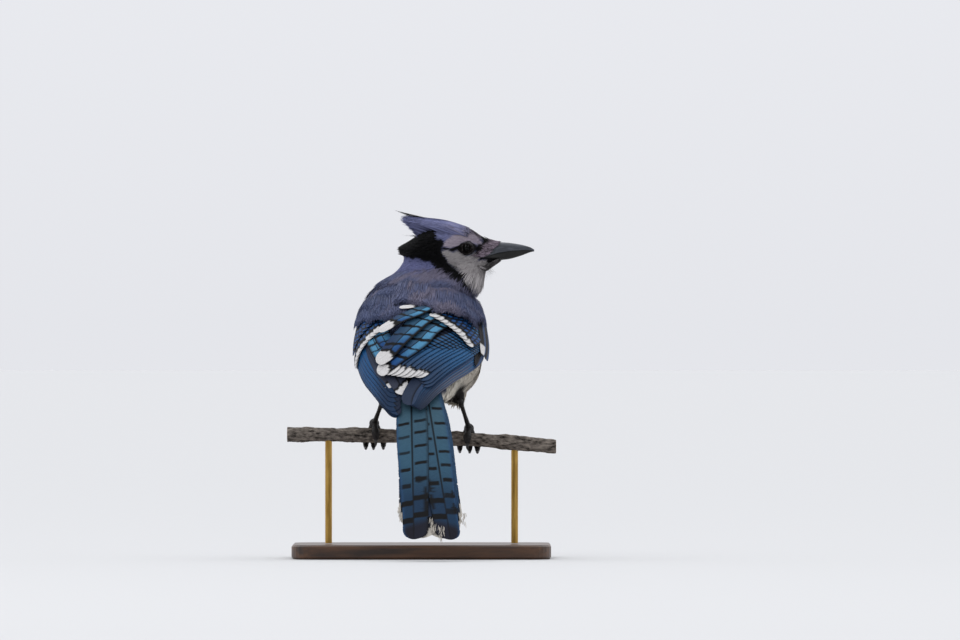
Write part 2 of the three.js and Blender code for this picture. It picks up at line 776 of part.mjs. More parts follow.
// Finishes
const finish = (color, roughness, metalness = 0) =>
  new THREE.MeshStandardMaterial({ color, roughness, metalness });
const FINISHES = {
  grey_feather: finish(0x6a6f8c, 0.85),
  blue_feather: finish(0x2f6ea6, 0.6),
  horn: finish(0x24282e, 0.4),
  eye: finish(0x120d0b, 0.05),
  skin: finish(0x2a2624, 0.6),
  bark: finish(0x5a4a40, 0.95),
  wood: finish(0x4a3020, 0.5),
  rod: finish(0xb08d4c, 0.3, 1),
};

const bird = new THREE.Group();
function add(name, made, material) {
  const mesh = new THREE.Mesh(geometryOf(largest(made)), FINISHES[material].clone());
  mesh.name = name;
  bird.add(mesh);
}

const trunkGrown = solid(trunk(GAP));
const skullGrown = solid(skull(GAP));
const neckGrown = solid(neck(GAP));
const perchGrown = solid(perch(GAP));
const bills = [true, false].map((upper) => cut(solid(bill(upper)), skullGrown));
const billGrown = [true, false].map((upper) => solid(bill(upper, GAP)));
const eyes = Object.values(SIDES).map((side) => solid(ball(eyeCentre(side), EYE.radius + GAP, 2)));
const locks = cut(join([...crest(), ...ruff()]), neckGrown, trunkGrown);
const face = cut(join([skull(0), ...bristles(), lids(-1), lids(1)]), ...billGrown, solid(gape()));
add("head", cut(face.add(locks), ...eyes, trunkGrown), "grey_feather");
add("neck", cut(solid(neck(0)), skullGrown, trunkGrown), "grey_feather");
add("torso", solid(trunk(0)), "grey_feather");
add("bill_upper", bills[0], "horn");
add("bill_lower", bills[1], "horn");

const tailGrown = tail(GAP);
const wingTools = [trunkGrown, neckGrown, skullGrown, tailGrown];
add("tail", cut(tail(), trunkGrown), "blue_feather");
add("wing_right", cut(wing("right"), ...wingTools), "blue_feather");
add("wing_left", cut(wing("left"), wing("right", GAP), ...wingTools), "blue_feather");

for (const [name, side] of Object.entries(SIDES)) {
  add(`eye_${name}`, solid(ball(eyeCentre(side), EYE.radius, 2)), "eye");
  const thighMade = cut(join([thigh(side), ...trousers(side)]), trunkGrown);
  add(`thigh_${name}`, thighMade, "grey_feather");
  const shank = cut(solid(tarsus(side)), solid(thigh(side, GAP)), foot(side, GAP));
  add(`tarsus_${name}`, shank, "skin");
  add(`foot_${name}`, foot(side), "skin");
  for (const spec of TOES) add(`claw_${name}_${spec.name}`, solid(claw(side, spec)), "horn");
}

add("perch", solid(perch(0)), "bark");
add("stand_base", solid(standBase()), "wood");
for (const [name, side] of Object.entries(SIDES)) {
  add(`stand_rod_${name}`, cut(solid(standRod(side)), perchGrown), "rod");
}

export default bird;
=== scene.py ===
# A life-size blue jay, perched with its head turned, on a cut length of branch and a display stand.
# Sizes are in millimetres until a mesh is made. The frame is the model's own: the bird faces +Y,
# its bill points along +X, and the base stands on the floor at the origin.
import math

import bpy
import numpy as np
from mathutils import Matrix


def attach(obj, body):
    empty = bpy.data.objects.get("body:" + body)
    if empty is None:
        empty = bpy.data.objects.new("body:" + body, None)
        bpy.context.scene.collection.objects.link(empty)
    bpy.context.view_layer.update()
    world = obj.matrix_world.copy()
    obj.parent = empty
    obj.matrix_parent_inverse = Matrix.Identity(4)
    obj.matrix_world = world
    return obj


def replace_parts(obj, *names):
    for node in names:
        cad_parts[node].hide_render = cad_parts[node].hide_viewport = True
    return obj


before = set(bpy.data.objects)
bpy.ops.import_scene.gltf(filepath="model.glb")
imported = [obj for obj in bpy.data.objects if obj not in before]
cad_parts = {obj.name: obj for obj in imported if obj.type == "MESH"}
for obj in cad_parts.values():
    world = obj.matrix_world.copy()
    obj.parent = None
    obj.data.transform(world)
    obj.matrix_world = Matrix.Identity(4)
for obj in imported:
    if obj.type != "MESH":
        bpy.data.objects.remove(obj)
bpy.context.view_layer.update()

MM = 0.001
# The branch's middle over the floor, and where the body and the head are from there
PERCH_Z = 70
BODY_PITCH = math.radians(38)
BODY_Y = -8
HEAD_Y = 28
SIDES = {"left": -1, "right": 1}


# Numbers
def mix(a, b, t):
    return a + (b - a) * t


def smooth(low, high, value):
    t = np.clip((value - low) / (high - low), 0, 1)
    return t * t * (3 - 2 * t)


def unit(vectors):
    return vectors / np.maximum(np.linalg.norm(vectors, axis=-1, keepdims=True), 1e-9)


def linear(code):
    """A colour as sRGB hex, in linear light."""
    c = np.array([int(code[i : i + 2], 16) / 255 for i in (1, 3, 5)])
    return np.where(c <= 0.04045, c / 12.92, ((c + 0.055) / 1.055) ** 2.4)


def blend(a, b, share):
    """Colours a and b, mixed by a share for each point."""
    share = np.asarray(share, float)[..., None]
    return a * (1 - share) + b * share


def layered(tint, *marks):
    """A colour with marks laid over it in turn, each a colour and its share."""
    for colour, share in marks:
        tint = blend(tint, colour, share)
    return tint


def along(table, place):
    """A smooth run through rows of (place, value, ...), in falling order of place."""
    rows = np.array(table, float)
    place = np.atleast_1d(np.asarray(place, float))
    at = np.clip(np.searchsorted(-rows[:, 0], -place.ravel()), 1, len(rows) - 1)
    before, start = rows[np.maximum(at - 2, 0)], rows[at - 1]
    end, after = rows[at], rows[np.minimum(at + 1, len(rows) - 1)]
    span = (end - start)[:, :1]
    t = np.clip((place.ravel()[:, None] - start[:, :1]) / span, 0, 1)
    leave = span * (end - before) / (end - before)[:, :1]
    arrive = span * (after - start) / (after - start)[:, :1]
    run = (2 * t**3 - 3 * t**2 + 1) * start + (t**3 - 2 * t**2 + t) * leave
    run += (3 * t**2 - 2 * t**3) * end + (t**3 - t**2) * arrive
    return [run[:, k].reshape(place.shape) for k in range(1, rows.shape[1])]


def wander(points, size, seed):
    """Soft blotches between -1 and 1, about size mm across."""
    chance = np.random.default_rng(seed)
    total = np.zeros(len(points))
    for _ in range(6):
        way = unit(chance.normal(size=3)) * chance.uniform(0.7, 1.4) / size
        total += np.sin(points @ way * 2 * math.pi + chance.uniform(0, 6.3))
    return total / 3


def stack(x, y, z):
    """Points from their x, y and z, as arrays or numbers."""
    return np.stack(np.broadcast_arrays(x, y, z), axis=-1).astype(float)


def grid(places, turns):
    """Every place with every turn, as two arrays."""
    return np.meshgrid(places, turns, indexing="ij")


def circle(count):
    return np.linspace(0, 2 * math.pi, count, endpoint=False)


# The body's frame: x to the bird's right, fore along the back, rise square to the back
BACK_Y, BACK_Z = math.cos(BODY_PITCH), math.sin(BODY_PITCH)


def in_body(x, fore, rise):
    y = BODY_Y + fore * BACK_Y - rise * BACK_Z
    z = PERCH_Z + fore * BACK_Z + rise * BACK_Y
    return stack(x, y, z)


def body_place(points):
    """The x, fore and rise of points."""
    y, z = points[..., 1] - BODY_Y, points[..., 2] - PERCH_Z
    return points[..., 0], y * BACK_Y + z * BACK_Z, z * BACK_Y - y * BACK_Z


# Sections of the trunk: fore, half width, middle, half depth
TRUNK = [
    (101, 6, 33, 5),
    (98, 15, 33, 12),
    (91, 24.5, 33.5, 19.5),
    (82, 31, 33.3, 24.5),
    (70, 35.5, 32.5, 28),
    (55, 36.5, 31.5, 29.5),
    (40, 36, 31, 28.5),
    (25, 34, 32.5, 26.5),
    (10, 28.5, 36, 21),
    (-5, 21, 40, 15),
    (-18, 15, 43.5, 9),
    (-27, 12, 44.5, 7),
]
# Sections of the surface that the folded wings lie in
FOLD = [
    (92, 31, 33, 25),
    (85, 35, 32.5, 27.8),
    (70, 38.5, 32, 31.5),
    (50, 40, 32, 32.5),
    (30, 39.5, 33, 31),
    (10, 36, 36, 26),
    (-10, 30, 41, 17.5),
    (-25, 25, 45, 10.5),
    (-41, 19, 47, 6),
    (-54, 14, 48, 4.5),
]
# Level sections of the neck: height over the branch, middle x and y, half width, half depth
NECK = [
    (108, 13, 28.5, 22, 12),
    (98, 12, 29.5, 26.5, 16.5),
    (90, 5.5, 29.5, 31, 21.5),
    (82, 2, 27.5, 29.5, 23.5),
    (74, 1, 25, 28, 21.5),
]
# Sections of the head square to the bill: x, half width, crown and throat over the branch
HEAD = [
    (44, 4.5, 113.3, 102),
    (41, 7, 114.8, 98.6),
    (36, 9.6, 117.4, 95.4),
    (30, 11.8, 121.2, 93.8),
    (24, 13.4, 123.8, 93.2),
    (17, 14.6, 125.2, 93),
    (9, 15, 124.6, 93.6),
    (2, 13.8, 121, 95.4),
    (-4, 11.2, 116, 98.4),
    (-8, 8, 112.4, 100.6),
    (-11, 2.4, 108.4, 104.4),
]


def on_sections(table, fore, degrees, lift):
    half, middle, depth = along(table, fore)
    angle = np.radians(degrees)
    return in_body((half + lift) * np.sin(angle), fore, middle + (depth + lift) * np.cos(angle))


def on_fold(fore, degrees, lift=0.0):
    fore, degrees, lift = np.broadcast_arrays(fore, degrees, lift)
    return on_sections(FOLD, fore, degrees, lift)


def out_of_fold(fore, degrees):
    ahead = on_fold(fore + 0.8, degrees) - on_fold(fore - 0.8, degrees)
    across = on_fold(fore, degrees + 1) - on_fold(fore, degrees - 1)
    return unit(np.cross(across, ahead))


def in_head(x, y, z):
    return stack(x, HEAD_Y + y, PERCH_Z + z)


def off_head(turn, lean=1.0):
    """The way out of the head, turn radians round it from the crown."""
    return unit(stack(0, -lean * np.sin(turn), np.cos(turn)))


# Meshes
def fill(mesh, points, polygons):
    """Puts points in mm, and polygons of any number of corners, into a mesh."""
    corners = np.concatenate([p.ravel() for p in polygons]).astype(np.int32)
    sizes = np.concatenate([np.full(len(p), p.shape[1]) for p in polygons]).astype(np.int32)
    mesh.vertices.add(len(points))
    mesh.vertices.foreach_set("co", (points * MM).astype(np.float32).ravel())
    mesh.loops.add(len(corners))
    mesh.loops.foreach_set("vertex_index", corners)
    mesh.polygons.add(len(sizes))
    mesh.polygons.foreach_set("loop_start", (np.cumsum(sizes) - sizes).astype(np.int32))
    mesh.update(calc_edges=True)
    return corners


def in_scene(name, data):
    """An object in the scene for a mesh, a lamp or a camera."""
    made = bpy.data.objects.new(name, data)
    bpy.context.scene.collection.objects.link(made)
    return made


def piece(name, points, polygons, material, slot, colours=None, places=None, facts=None):
    """A mesh that rides on the model. colours, places on the bake's map and facts, the way each
    feather's barbs lie, are per point."""
    mesh = bpy.data.meshes.new(name)
    corners = fill(mesh, points, polygons)
    mesh.polygons.foreach_set("use_smooth", np.ones(len(mesh.polygons), bool))
    if colours is not None:
        tint = mesh.color_attributes.new("tint", "FLOAT_COLOR", "POINT")
        rgba = np.concatenate([colours, np.ones((len(colours), 1))], axis=1)
        tint.data.foreach_set("color", rgba.astype(np.float32).ravel())
    if facts is not None:
        lay = mesh.attributes.new("lay", "FLOAT_VECTOR", "POINT")
        lay.data.foreach_set("vector", facts.astype(np.float32).ravel())
    if places is not None:
        uv = mesh.uv_layers.new(name="OFBake")
        uv.uv.foreach_set("vector", places[corners].astype(np.float32).ravel())
    made = in_scene(name, mesh)
    mesh.materials.append(material)
    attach(made, "root")
    return made


def outward(points, polygons):
    """The polygons, turned so that a closed shape's faces look out."""
    volume = 0.0
    middle = points.mean(axis=0)
    for p in polygons:
        corner = points[p] - middle
        for k in range(1, p.shape[1] - 1):
            volume += np.einsum("ij,ij->", corner[:, 0], np.cross(corner[:, k], corner[:, k + 1]))
    return polygons if volume > 0 else [p[:, ::-1] for p in polygons]


def loft(rings, capped=True):
    """Points and polygons of a tube over rings, an array of ring, place round it, xyz."""
    count, sides = rings.shape[:2]
    i = np.arange(sides)
    j = (i + 1) % sides
    start = (np.arange(count - 1) * sides)[:, None]
    quads = np.stack([start + i, start + j, start + sides + j, start + sides + i], axis=-1)
    polygons = [quads.reshape(-1, 4)]
    if capped:
        polygons.append(i[::-1][None])
        polygons.append((i + (count - 1) * sides)[None])
        polygons = outward(rings.reshape(-1, 3), polygons)
    return rings.reshape(-1, 3), polygons


def together(parts):
    """One set of points and polygons from several."""
    points, polygons, start = [], [], 0
    for part_points, part_polygons in parts:
        points.append(part_points)
        polygons += [p + start for p in part_polygons]
        start += len(part_points)
    return np.concatenate(points), polygons


def tube(path, radii, sides, up=(0, 0, 1)):
    """A round tube along a path, with a radius at each point."""
    path, radii = np.array(path, float), np.array(radii, float)
    way = unit(np.gradient(path, axis=0))
    across = unit(np.cross(way, np.array(up, float)))
    over = np.cross(across, way)
    angle = 2 * math.pi * np.arange(sides) / sides
    out = across[:, None] * np.cos(angle)[None, :, None] + over[:, None] * np.sin(angle)[None, :, None]
    return loft(path[:, None] + out * radii[:, None, None])


# Materials
def new_material(name):
    material = bpy.data.materials.new(name)
    material.use_nodes = True
    material.node_tree.nodes.clear()
    return material


def add(material, kind, inputs=None, **settings):
    """Adds a node, with its settings, and its inputs as values or as other nodes' outputs."""
    made = material.node_tree.nodes.new(kind)
    for name, value in settings.items():
        setattr(made, name, value)
    for name, value in (inputs or {}).items():
        if isinstance(value, bpy.types.NodeSocket):
            material.node_tree.links.new(value, made.inputs[name])
        else:
            made.inputs[name].default_value = value
    return made


def finish_with(material, **inputs):
    """Ends a material in a plain surface shader."""
    named = {name.replace("_", " "): value for name, value in inputs.items()}
    surface = add(material, "ShaderNodeBsdfPrincipled", named)
    add(material, "ShaderNodeOutputMaterial", {"Surface": surface.outputs[0]})
    return material


def rgba(code):
    return (*linear(code), 1)


def streaked(name, detail, rough, shades, roughness, specular, relief=0.0):
    """Feathers: the tint laid on their points, with streaks as fine as barbs, a third of a
    millimetre apart, that run along each of them."""
    material = new_material(name)
    tint = add(material, "ShaderNodeAttribute", attribute_name="tint")
    lay = add(material, "ShaderNodeAttribute", attribute_name="lay")
    inputs = {"Vector": lay.outputs["Vector"], "Scale": 1.0, "Detail": detail, "Roughness": rough}
    streaks = add(material, "ShaderNodeTexNoise", inputs).outputs["Fac"]
    inputs = {"Value": streaks, "From Min": 0.3, "From Max": 0.7, "To Min": shades[0], "To Max": shades[1]}
    shade = add(material, "ShaderNodeMapRange", inputs)
    inputs = {0: tint.outputs["Color"], "Scale": shade.outputs["Result"]}
    colour = add(material, "ShaderNodeVectorMath", inputs, operation="SCALE")
    looks = {"Roughness": roughness, "Specular_IOR_Level": specular}
    if relief:
        inputs = {"Height": streaks, "Distance": 0.1 * MM, "Strength": relief}
        looks["Normal"] = add(material, "ShaderNodeBump", inputs).outputs["Normal"]
    return finish_with(material, Base_Color=colour.outputs["Vector"], **looks)


def ramp(material, share, *stops):
    """A run of colour by share, through two stops of place and colour."""
    made = add(material, "ShaderNodeValToRGB", {"Fac": share})
    for element, (place, colour) in zip(made.color_ramp.elements, stops):
        element.position = place
        element.color = colour
    return made.outputs["Color"]


def mottled(name, dark, light, size, roughness, bump, stretch=(1, 1, 1), specular=0.5, metal=0.0):
    """A surface whose colour runs between two tones in blotches about size mm across."""
    material = new_material(name)
    place = add(material, "ShaderNodeTexCoord")
    scale = [s / (size * MM) for s in stretch]
    inputs = {"Vector": place.outputs["Object"], "Scale": scale}
    spread = add(material, "ShaderNodeMapping", inputs)
    inputs = {"Vector": spread.outputs["Vector"], "Scale": 1.0, "Detail": 6.0, "Roughness": 0.6}
    blotches = add(material, "ShaderNodeTexNoise", inputs).outputs["Fac"]
    inputs = {"Height": blotches, "Distance": bump * MM, "Strength": 1.0}
    relief = add(material, "ShaderNodeBump", inputs)
    return finish_with(
        material,
        Base_Color=ramp(material, blotches, (0.33, rgba(dark)), (0.68, rgba(light))),
        Roughness=roughness,
        Specular_IOR_Level=specular,
        Metallic=metal,
        Normal=relief.outputs["Normal"],
    )


def plain(name, code, roughness, **inputs):
    return finish_with(new_material(name), Base_Color=rgba(code), Roughness=roughness, **inputs)


MATERIALS = {
    # contour feathers: matt keratin barbs, whose loose ends give a soft, slightly silky look
    "coat": streaked("contour_feathers", 2.0, 0.6, (0.88, 1.1), 0.7, 0.12),
    # flight feathers: barbs zipped into a smooth vane, more even than the coat
    "flight": streaked("flight_feathers", 3.0, 0.65, (0.84, 1.14), 0.5, 0.08, 0.5),
    # dark horn: hard keratin with a satin sheen and faint growth streaks along the bill. Its paler grey is
    # painted sheen, where the sky shines on the upper half
    "bill_upper": mottled("bill_horn", "#202329", "#4b4f58", 2.2, 0.36, 0.05, (0.25, 1, 1), 0.4),
    # the lower half of the bill is the same horn, darker: painted shade on its underside
    "bill_lower": mottled("bill_horn_painted_shade", "#08090a", "#1c1c1b", 2.2, 0.42, 0.05, (0.25, 1, 1), 0.3),
    # claw horn: the same keratin, darker and smoother
    "claw": mottled("claw_horn", "#121011", "#2a2727", 1.5, 0.34, 0.02),
    # leg scales: dry leathery keratin plates, nearly black
    "leg": mottled("leg_scales", "#0a0909", "#242020", 1.1, 0.6, 0.06, (1, 1, 1), 0.25),
    # weathered bark: grey-brown and dry, with no gloss
    "bark": mottled("bark", "#15110f", "#8f857c", 1.7, 0.9, 0.6, (0.45, 1, 1), 0.2),
    # cut wood: pale end grain of the branch
    "cut_wood": mottled("cut_wood", "#8a7358", "#b89d7a", 1.6, 0.8, 0.1, (0.4, 1, 1), 0.3),
    # oiled walnut: dark wood with a low satin finish
    "base": mottled("walnut", "#2a1a10", "#5a3b24", 5.0, 0.42, 0.05, (0.12, 1, 1)),
    # brushed brass: a metal, so its colour is in its reflections
    "brass": mottled("brass", "#8f6d33", "#c9a258", 3.0, 0.32, 0.01, (1, 1, 0.15), 0.5, 1.0),
    # pupil: the open hole of the iris, as black as the inside of the eye
    "pupil": plain("pupil", "#020202", 0.9, Specular_IOR_Level=0.0),
    # eyelid: thin bare skin, dark and dull
    "lid": mottled("lid_skin", "#050405", "#141213", 0.6, 0.6, 0.03, (1, 1, 1), 0.15),
    # iris: dark brown fibres, nearly as dark as the pupil
    "iris": mottled("iris", "#080403", "#160c08", 0.5, 0.7, 0.02, (1, 1, 1), 0.05),
    # cornea: clear wet tissue over the whole eyeball. So thin a film mirrors little of the wide
    # pale sky, and the eye looks black through it
    "cornea": plain("cornea", "#ffffff", 0.02, IOR=1.376, Transmission_Weight=1.0, Alpha=0.35),
}


# The skin: the flesh under the coat, a coat's depth inside the solids
COAT_DEPTH = 1.4
# The padded shoulders of the folded wings: fore, upper and lower edge in degrees, lift of the crown
SHOULDERS = {
    "left": [
        (91, 36, 104, -3.6),
        (76, 32, 102, -2.6),
        (62, 33, 100, -1.2),
        (50, 36, 99, -0.9),
        (38, 44, 97, -1),
        (30, 54, 94, -1.8),
    ],
    "right": [
        (91, 36, 104, -3.6),
        (76, 28, 102, -2.6),
        (62, 20, 100, -1.2),
        (50, 14, 98, -0.9),
        (38, 22, 92, -1),
        (30, 40, 82, -1.8),
    ],
}


def trunk_points(fore, degrees):
    """The trunk's surface, swelling into the shoulders where the wings are folded on it."""
    flesh = on_sections(TRUNK, fore, degrees, 0.0)
    for name, side in SIDES.items():
        upper, lower, lift = along(SHOULDERS[name], fore)
        way = degrees * side
        pad = on_fold(fore, degrees, lift)
        share = smooth(upper - 12, upper + 10, way) * (1 - smooth(lower - 12, lower + 10, way))
        share = share * smooth(26, 36, fore) * (1 - smooth(86, 94, fore))
        flesh = flesh * (1 - share[..., None]) + pad * share[..., None]
    return flesh


def head_points(x, degrees):
    half, top, bottom = along(HEAD, x)
    angle = np.radians(degrees)
    z = (top + bottom) / 2 + (top - bottom) / 2 * np.cos(angle)
    return in_head(x, -half * np.sin(angle), z)


# The hip and the heel of a leg: off the middle, y, and height over the branch
HIP = (17, -2, 31)
HEEL = (22.5, -30, 21)


def leg_place(side, place):
    return np.array([side * place[0], place[1], PERCH_Z + place[2]])


# Radius of the thigh at shares of the way from hip to heel
THIGH = [(0, 10.5), (0.15, 9.8), (0.3, 8.6), (0.45, 7.2), (0.6, 5.8), (0.72, 4.8), (0.85, 3.7), (0.98, 2.7)]
MELT_STEP = 0.9


def skin_mesh():
    """The lofts of trunk, neck, head and thighs, melted into one surface without a seam."""
    turn = np.arange(-180, 180, 6)
    parts = [loft(trunk_points(*grid(np.linspace(100.9, -26.9, 70), turn)))]
    parts.append(loft(head_points(*grid(np.linspace(43.9, -10.9, 50), turn))))
    height, angle = grid(np.linspace(107.9, 74.1, 24), np.radians(turn))
    x, y, wide, deep = along(NECK, height)
    parts.append(loft(stack(x + wide * np.cos(angle), y + deep * np.sin(angle), PERCH_Z + height)))
    steps, radii = np.array(THIGH).T
    for side in SIDES.values():
        way = leg_place(side, HIP) * (1 - steps[:, None]) + leg_place(side, HEEL) * steps[:, None]
        parts.append(tube(way, radii, 24))
    mesh = bpy.data.meshes.new("flesh")
    fill(mesh, *together(parts))
    made = in_scene("flesh", mesh)
    melt = made.modifiers.new("melt", "REMESH")
    melt.mode = "VOXEL"
    melt.voxel_size = MELT_STEP * MM
    soften = made.modifiers.new("soften", "SMOOTH")
    soften.iterations = 14
    soften.factor = 0.6
    settled = made.evaluated_get(bpy.context.evaluated_depsgraph_get())
    melted = settled.to_mesh()
    count = len(melted.vertices)
    points, normals = np.zeros(count * 3, np.float32), np.zeros(count * 3, np.float32)
    melted.vertices.foreach_get("co", points)
    melted.vertices.foreach_get("normal", normals)
    corners = np.zeros(len(melted.loops), np.int32)
    melted.loops.foreach_get("vertex_index", corners)
    settled.to_mesh_clear()
    bpy.data.objects.remove(made)
    bpy.data.meshes.remove(mesh)
    points, normals = points.reshape(-1, 3).astype(float) / MM, normals.reshape(-1, 3).astype(float)
    return points - normals * COAT_DEPTH, normals, corners.reshape(-1, 4)


# Markings, as outlines on the side of the head: x, and height over the branch
BROW = [
    (12, 110.2), (12, 112.4), (14, 114.3), (16, 115.6), (18, 116.8), (21, 118), (24, 118.6), (27, 118.5),
    (30, 117.6), (32, 116), (34, 114.3), (35, 112.8), (34.7, 111.2), (32.5, 110.9), (30.5, 112.3),
    (27, 113.5), (23.5, 113), (21, 111), (18, 110), (14, 110),
]
LORES = [
    (28.6, 122.2), (30.2, 119.8), (32.2, 117.4), (34, 115.2), (35, 113.5), (35, 111.2), (31.5, 111),
    (30.3, 109.5), (31, 107.6), (32.4, 106.4), (33.8, 105.2), (32.5, 103), (34, 102.6), (38, 104.5),
    (42, 105), (42, 109), (40, 110), (39.6, 112), (39.6, 114.2), (37.5, 116.2), (34.5, 119), (31.5, 122),
]
# where the pale cheek meets the black collar, from the eye line down to the breast
CHEEK_EDGE = [
    (11.6, 107.6), (12, 106), (13, 104.6), (14.5, 102.8), (16, 101), (17.5, 98.8), (19.5, 97.2), (21, 96),
    (22.3, 94.6), (22.6, 92), (24, 90.5), (25.5, 88.5), (27.5, 86), (29.5, 83.8), (33, 82),
]
COLLAR = [
    (-2, 118.3), (2, 118), (5, 117.3), (7.5, 116.3), (9.3, 114.6), (12, 113.8), (12.2, 111), (11.6, 109.8),
    *CHEEK_EDGE, (60, 77), (60, 72), (33, 78.5), (29, 82.4), (27, 83.6), (25, 85.2), (23, 86.9), (21, 88.6),
    (19, 90.1), (17, 91.7), (15, 93.2), (12, 94.7), (10, 96.4), (8, 98.4), (6, 100), (4, 101.8), (0, 102.7),
    (-3, 103.4), (-7, 104.2), (-10, 104.8), (-20, 105), (-20, 112), (-10, 114), (-5, 117),
]
CHEEK = [
    *CHEEK_EDGE, (60, 78), (60, 104.5), (42, 104.5), (38, 104.5), (34, 102.6), (32.5, 103), (33.6, 105.2),
    (32.2, 106.4), (30.5, 107), (28, 105.7), (25, 105.8), (22.5, 106.9), (20, 107.6), (17, 108.1),
]
MOUTH = [(35.5, 102.4), (40, 100.8), (46, 101.5), (46, 106), (42, 107), (37, 105)]
EYELINE = [
    (24, 111), (21, 110.9), (18, 110), (14, 109.8), (11.6, 109.9), (11.6, 107.7), (17, 108.1), (20, 107.6),
    (23, 106.7),
]
THROAT = [(28, 84), (60, 79), (60, 60), (33, 60)]


def within(outline, x, z, soft=0.8):
    """1 inside an outline, 0 outside it, with a soft edge."""
    corners = np.array(outline, float)
    ends = np.roll(corners, -1, axis=0)
    nearest = np.full(x.shape, 1e9)
    inside = np.zeros(x.shape, bool)
    for (ax, az), (bx, bz) in zip(corners, ends):
        dx, dz = bx - ax, bz - az
        t = np.clip(((x - ax) * dx + (z - az) * dz) / (dx * dx + dz * dz), 0, 1)
        nearest = np.minimum(nearest, np.hypot(x - ax - t * dx, z - az - t * dz))
        if az != bz:
            inside ^= ((az > z) != (bz > z)) & (x < ax + (z - az) / (bz - az) * dx)
    return smooth(-soft, soft, np.where(inside, nearest, -nearest))


EYE_X, EYE_Z = 26.1, 109.6

TONES = {
    "mantle": linear("#5f6584"),
    "mantle_warm": linear("#7a7486"),
    "rump": linear("#52648a"),
    "shoulder": linear("#4a5678"),
    "crown": linear("#787ca4"),
    "crown_front": linear("#857b86"),
    "nape": linear("#7175a0"),
    "black": linear("#060608"),
    "cheek": linear("#aca7a8"),
    "brow": linear("#aca1af"),
    "breast": linear("#8d8987"),
    "belly": linear("#e2d9cc"),
    "vent": linear("#ede6d9"),
    "down": linear("#2b2827"),
}


def round_trunk(points):
    """The fore and rise of points, and their degrees round the trunk from the middle of the back."""
    x, fore, rise = body_place(points)
    half, middle, depth = along(TRUNK, np.clip(fore, TRUNK[-1][0], TRUNK[0][0]))
    return fore, rise, np.abs(np.degrees(np.arctan2(x / half, (rise - middle) / depth)))


def coat_tint(points):
    """The coat's colour at points on the skin, by place, with painted shade on the rump and in the cheek."""
    x, height = points[:, 0], points[:, 2] - PERCH_Z
    fore, _, degrees = round_trunk(points)
    broad, fine = wander(points, 14, 3), wander(points, 4, 4)
    warm = smooth(-0.2, 0.9, broad + np.where(x > -8, 0.35, -0.5))
    back = layered(
        TONES["mantle"],
        (TONES["mantle_warm"], warm * 0.8),
        (TONES["rump"], smooth(40, 15, fore)),
        # painted shade: the rump, in the gap between the wing tips, drawn nearly black
        (TONES["black"] * 2, smooth(14, 4, fore)),
        (TONES["shoulder"], smooth(22, 40, degrees) * smooth(80, 60, fore) * 0.6),
    )
    under = blend(TONES["breast"], TONES["belly"], smooth(75, 35, fore + 6 * broad))
    under = blend(under, TONES["vent"], smooth(20, -5, fore))
    edge = mix(101, 74, smooth(42, 18, fore)) + 24 * smooth(44, 60, fore) + 5 * fine
    front = smooth(8, 24, points[:, 1] - 24 + 6 * fine)
    head = smooth(94, 98, height - 0.15 * x + 1.5 * fine)
    ahead = within(THROAT, x, height, 4) * smooth(100, 114, degrees)
    # the markings of the head, with edges a little ragged
    px, pz = x + 0.9 * fine, height + 0.7 * wander(points, 5, 5)
    above = 3.4 * smooth(13, -4, px)
    crown = smooth(113.4 + above, 115.6 + above, pz)
    cheek = within(CHEEK, px, pz)
    # dusky: a darker patch at the back of the cheek, painted shade
    dusky = cheek * np.exp(-np.hypot((px - 18) / 3, (pz - 100) / 2.4) ** 2)
    collar = within(COLLAR, px, pz) * (1 - smooth(112, 100, degrees) * smooth(27, 30, x))
    ring = np.hypot((px - EYE_X) / 5.4, (pz - EYE_Z) / 4.0)
    tint = layered(
        back,
        (under, smooth(edge - 7, edge + 7, degrees)),
        (TONES["breast"], ahead * (1 - smooth(0.5, 1, front))),
        (TONES["nape"], head * (1 - ahead)),
        (TONES["crown"], crown),
        (TONES["crown_front"], crown * smooth(22, 31, px)),
        (TONES["cheek"], cheek),
        (TONES["cheek"] * 0.55, dusky),
        (TONES["brow"], within(BROW, px, pz, 0.9)),
        (TONES["black"], collar),
        (TONES["black"], within(EYELINE, px, pz, 0.7)),
        (TONES["black"], within(LORES, px, pz, 0.6)),
        (TONES["black"] * 2, within(MOUTH, px, pz, 0.5)),
        (TONES["black"], smooth(1.08, 0.94, ring) * (height > 100)),
    )
    # dark down round the heels
    for side in SIDES.values():
        knee = leg_place(side, HEEL) + np.array([-side * 1.0, 3.0, 1.5])
        tint = blend(tint, TONES["down"], smooth(11, 5, np.linalg.norm(points - knee, axis=1)))
    return tint


def lie_way(points):
    """The way the coat lies: tailward on the body, back from the bill on the head."""
    height = points[:, 2:] - PERCH_Z
    body = np.array([0, -BACK_Y, -BACK_Z])
    head = np.array([-1.0, 0, -0.3]) + smooth(104, 92, height) * np.array([0.5, 0, -0.8])
    on_body = smooth(98, 78, height)
    way = head * (1 - on_body) + body * on_body
    leg = smooth(44, 30, height) * smooth(6, -12, points[:, 1:2])
    return unit(way * (1 - leg) + np.array([0, -0.8, -0.6]) * leg)


# Width of one tuft's patch on the bake's map
TUFT_PATCH = 0.0026


def bake_place(points):
    """A place on the bake's map for points of the coat, on an unwrap of the body and head."""
    x, fore, rise = body_place(points)
    height = points[:, 2] - PERCH_Z
    round_body = np.arctan2(x, rise - 33) / (2 * math.pi) + 0.5
    round_head = np.arctan2(points[:, 1] - HEAD_Y, height - 108) / (2 * math.pi) + 0.5
    on_head = (height > 92) & (fore > 70)
    u = np.where(on_head, 0.52 + 0.46 * round_head, 0.02 + 0.48 * round_body)
    v = np.where(on_head, 0.03 + 0.94 * (points[:, 0] + 20) / 70, 0.03 + 0.94 * (fore + 45) / 150)
    return np.stack([np.clip(u, 0.004, 0.996), np.clip(v, 0.004, 0.996)], axis=-1)


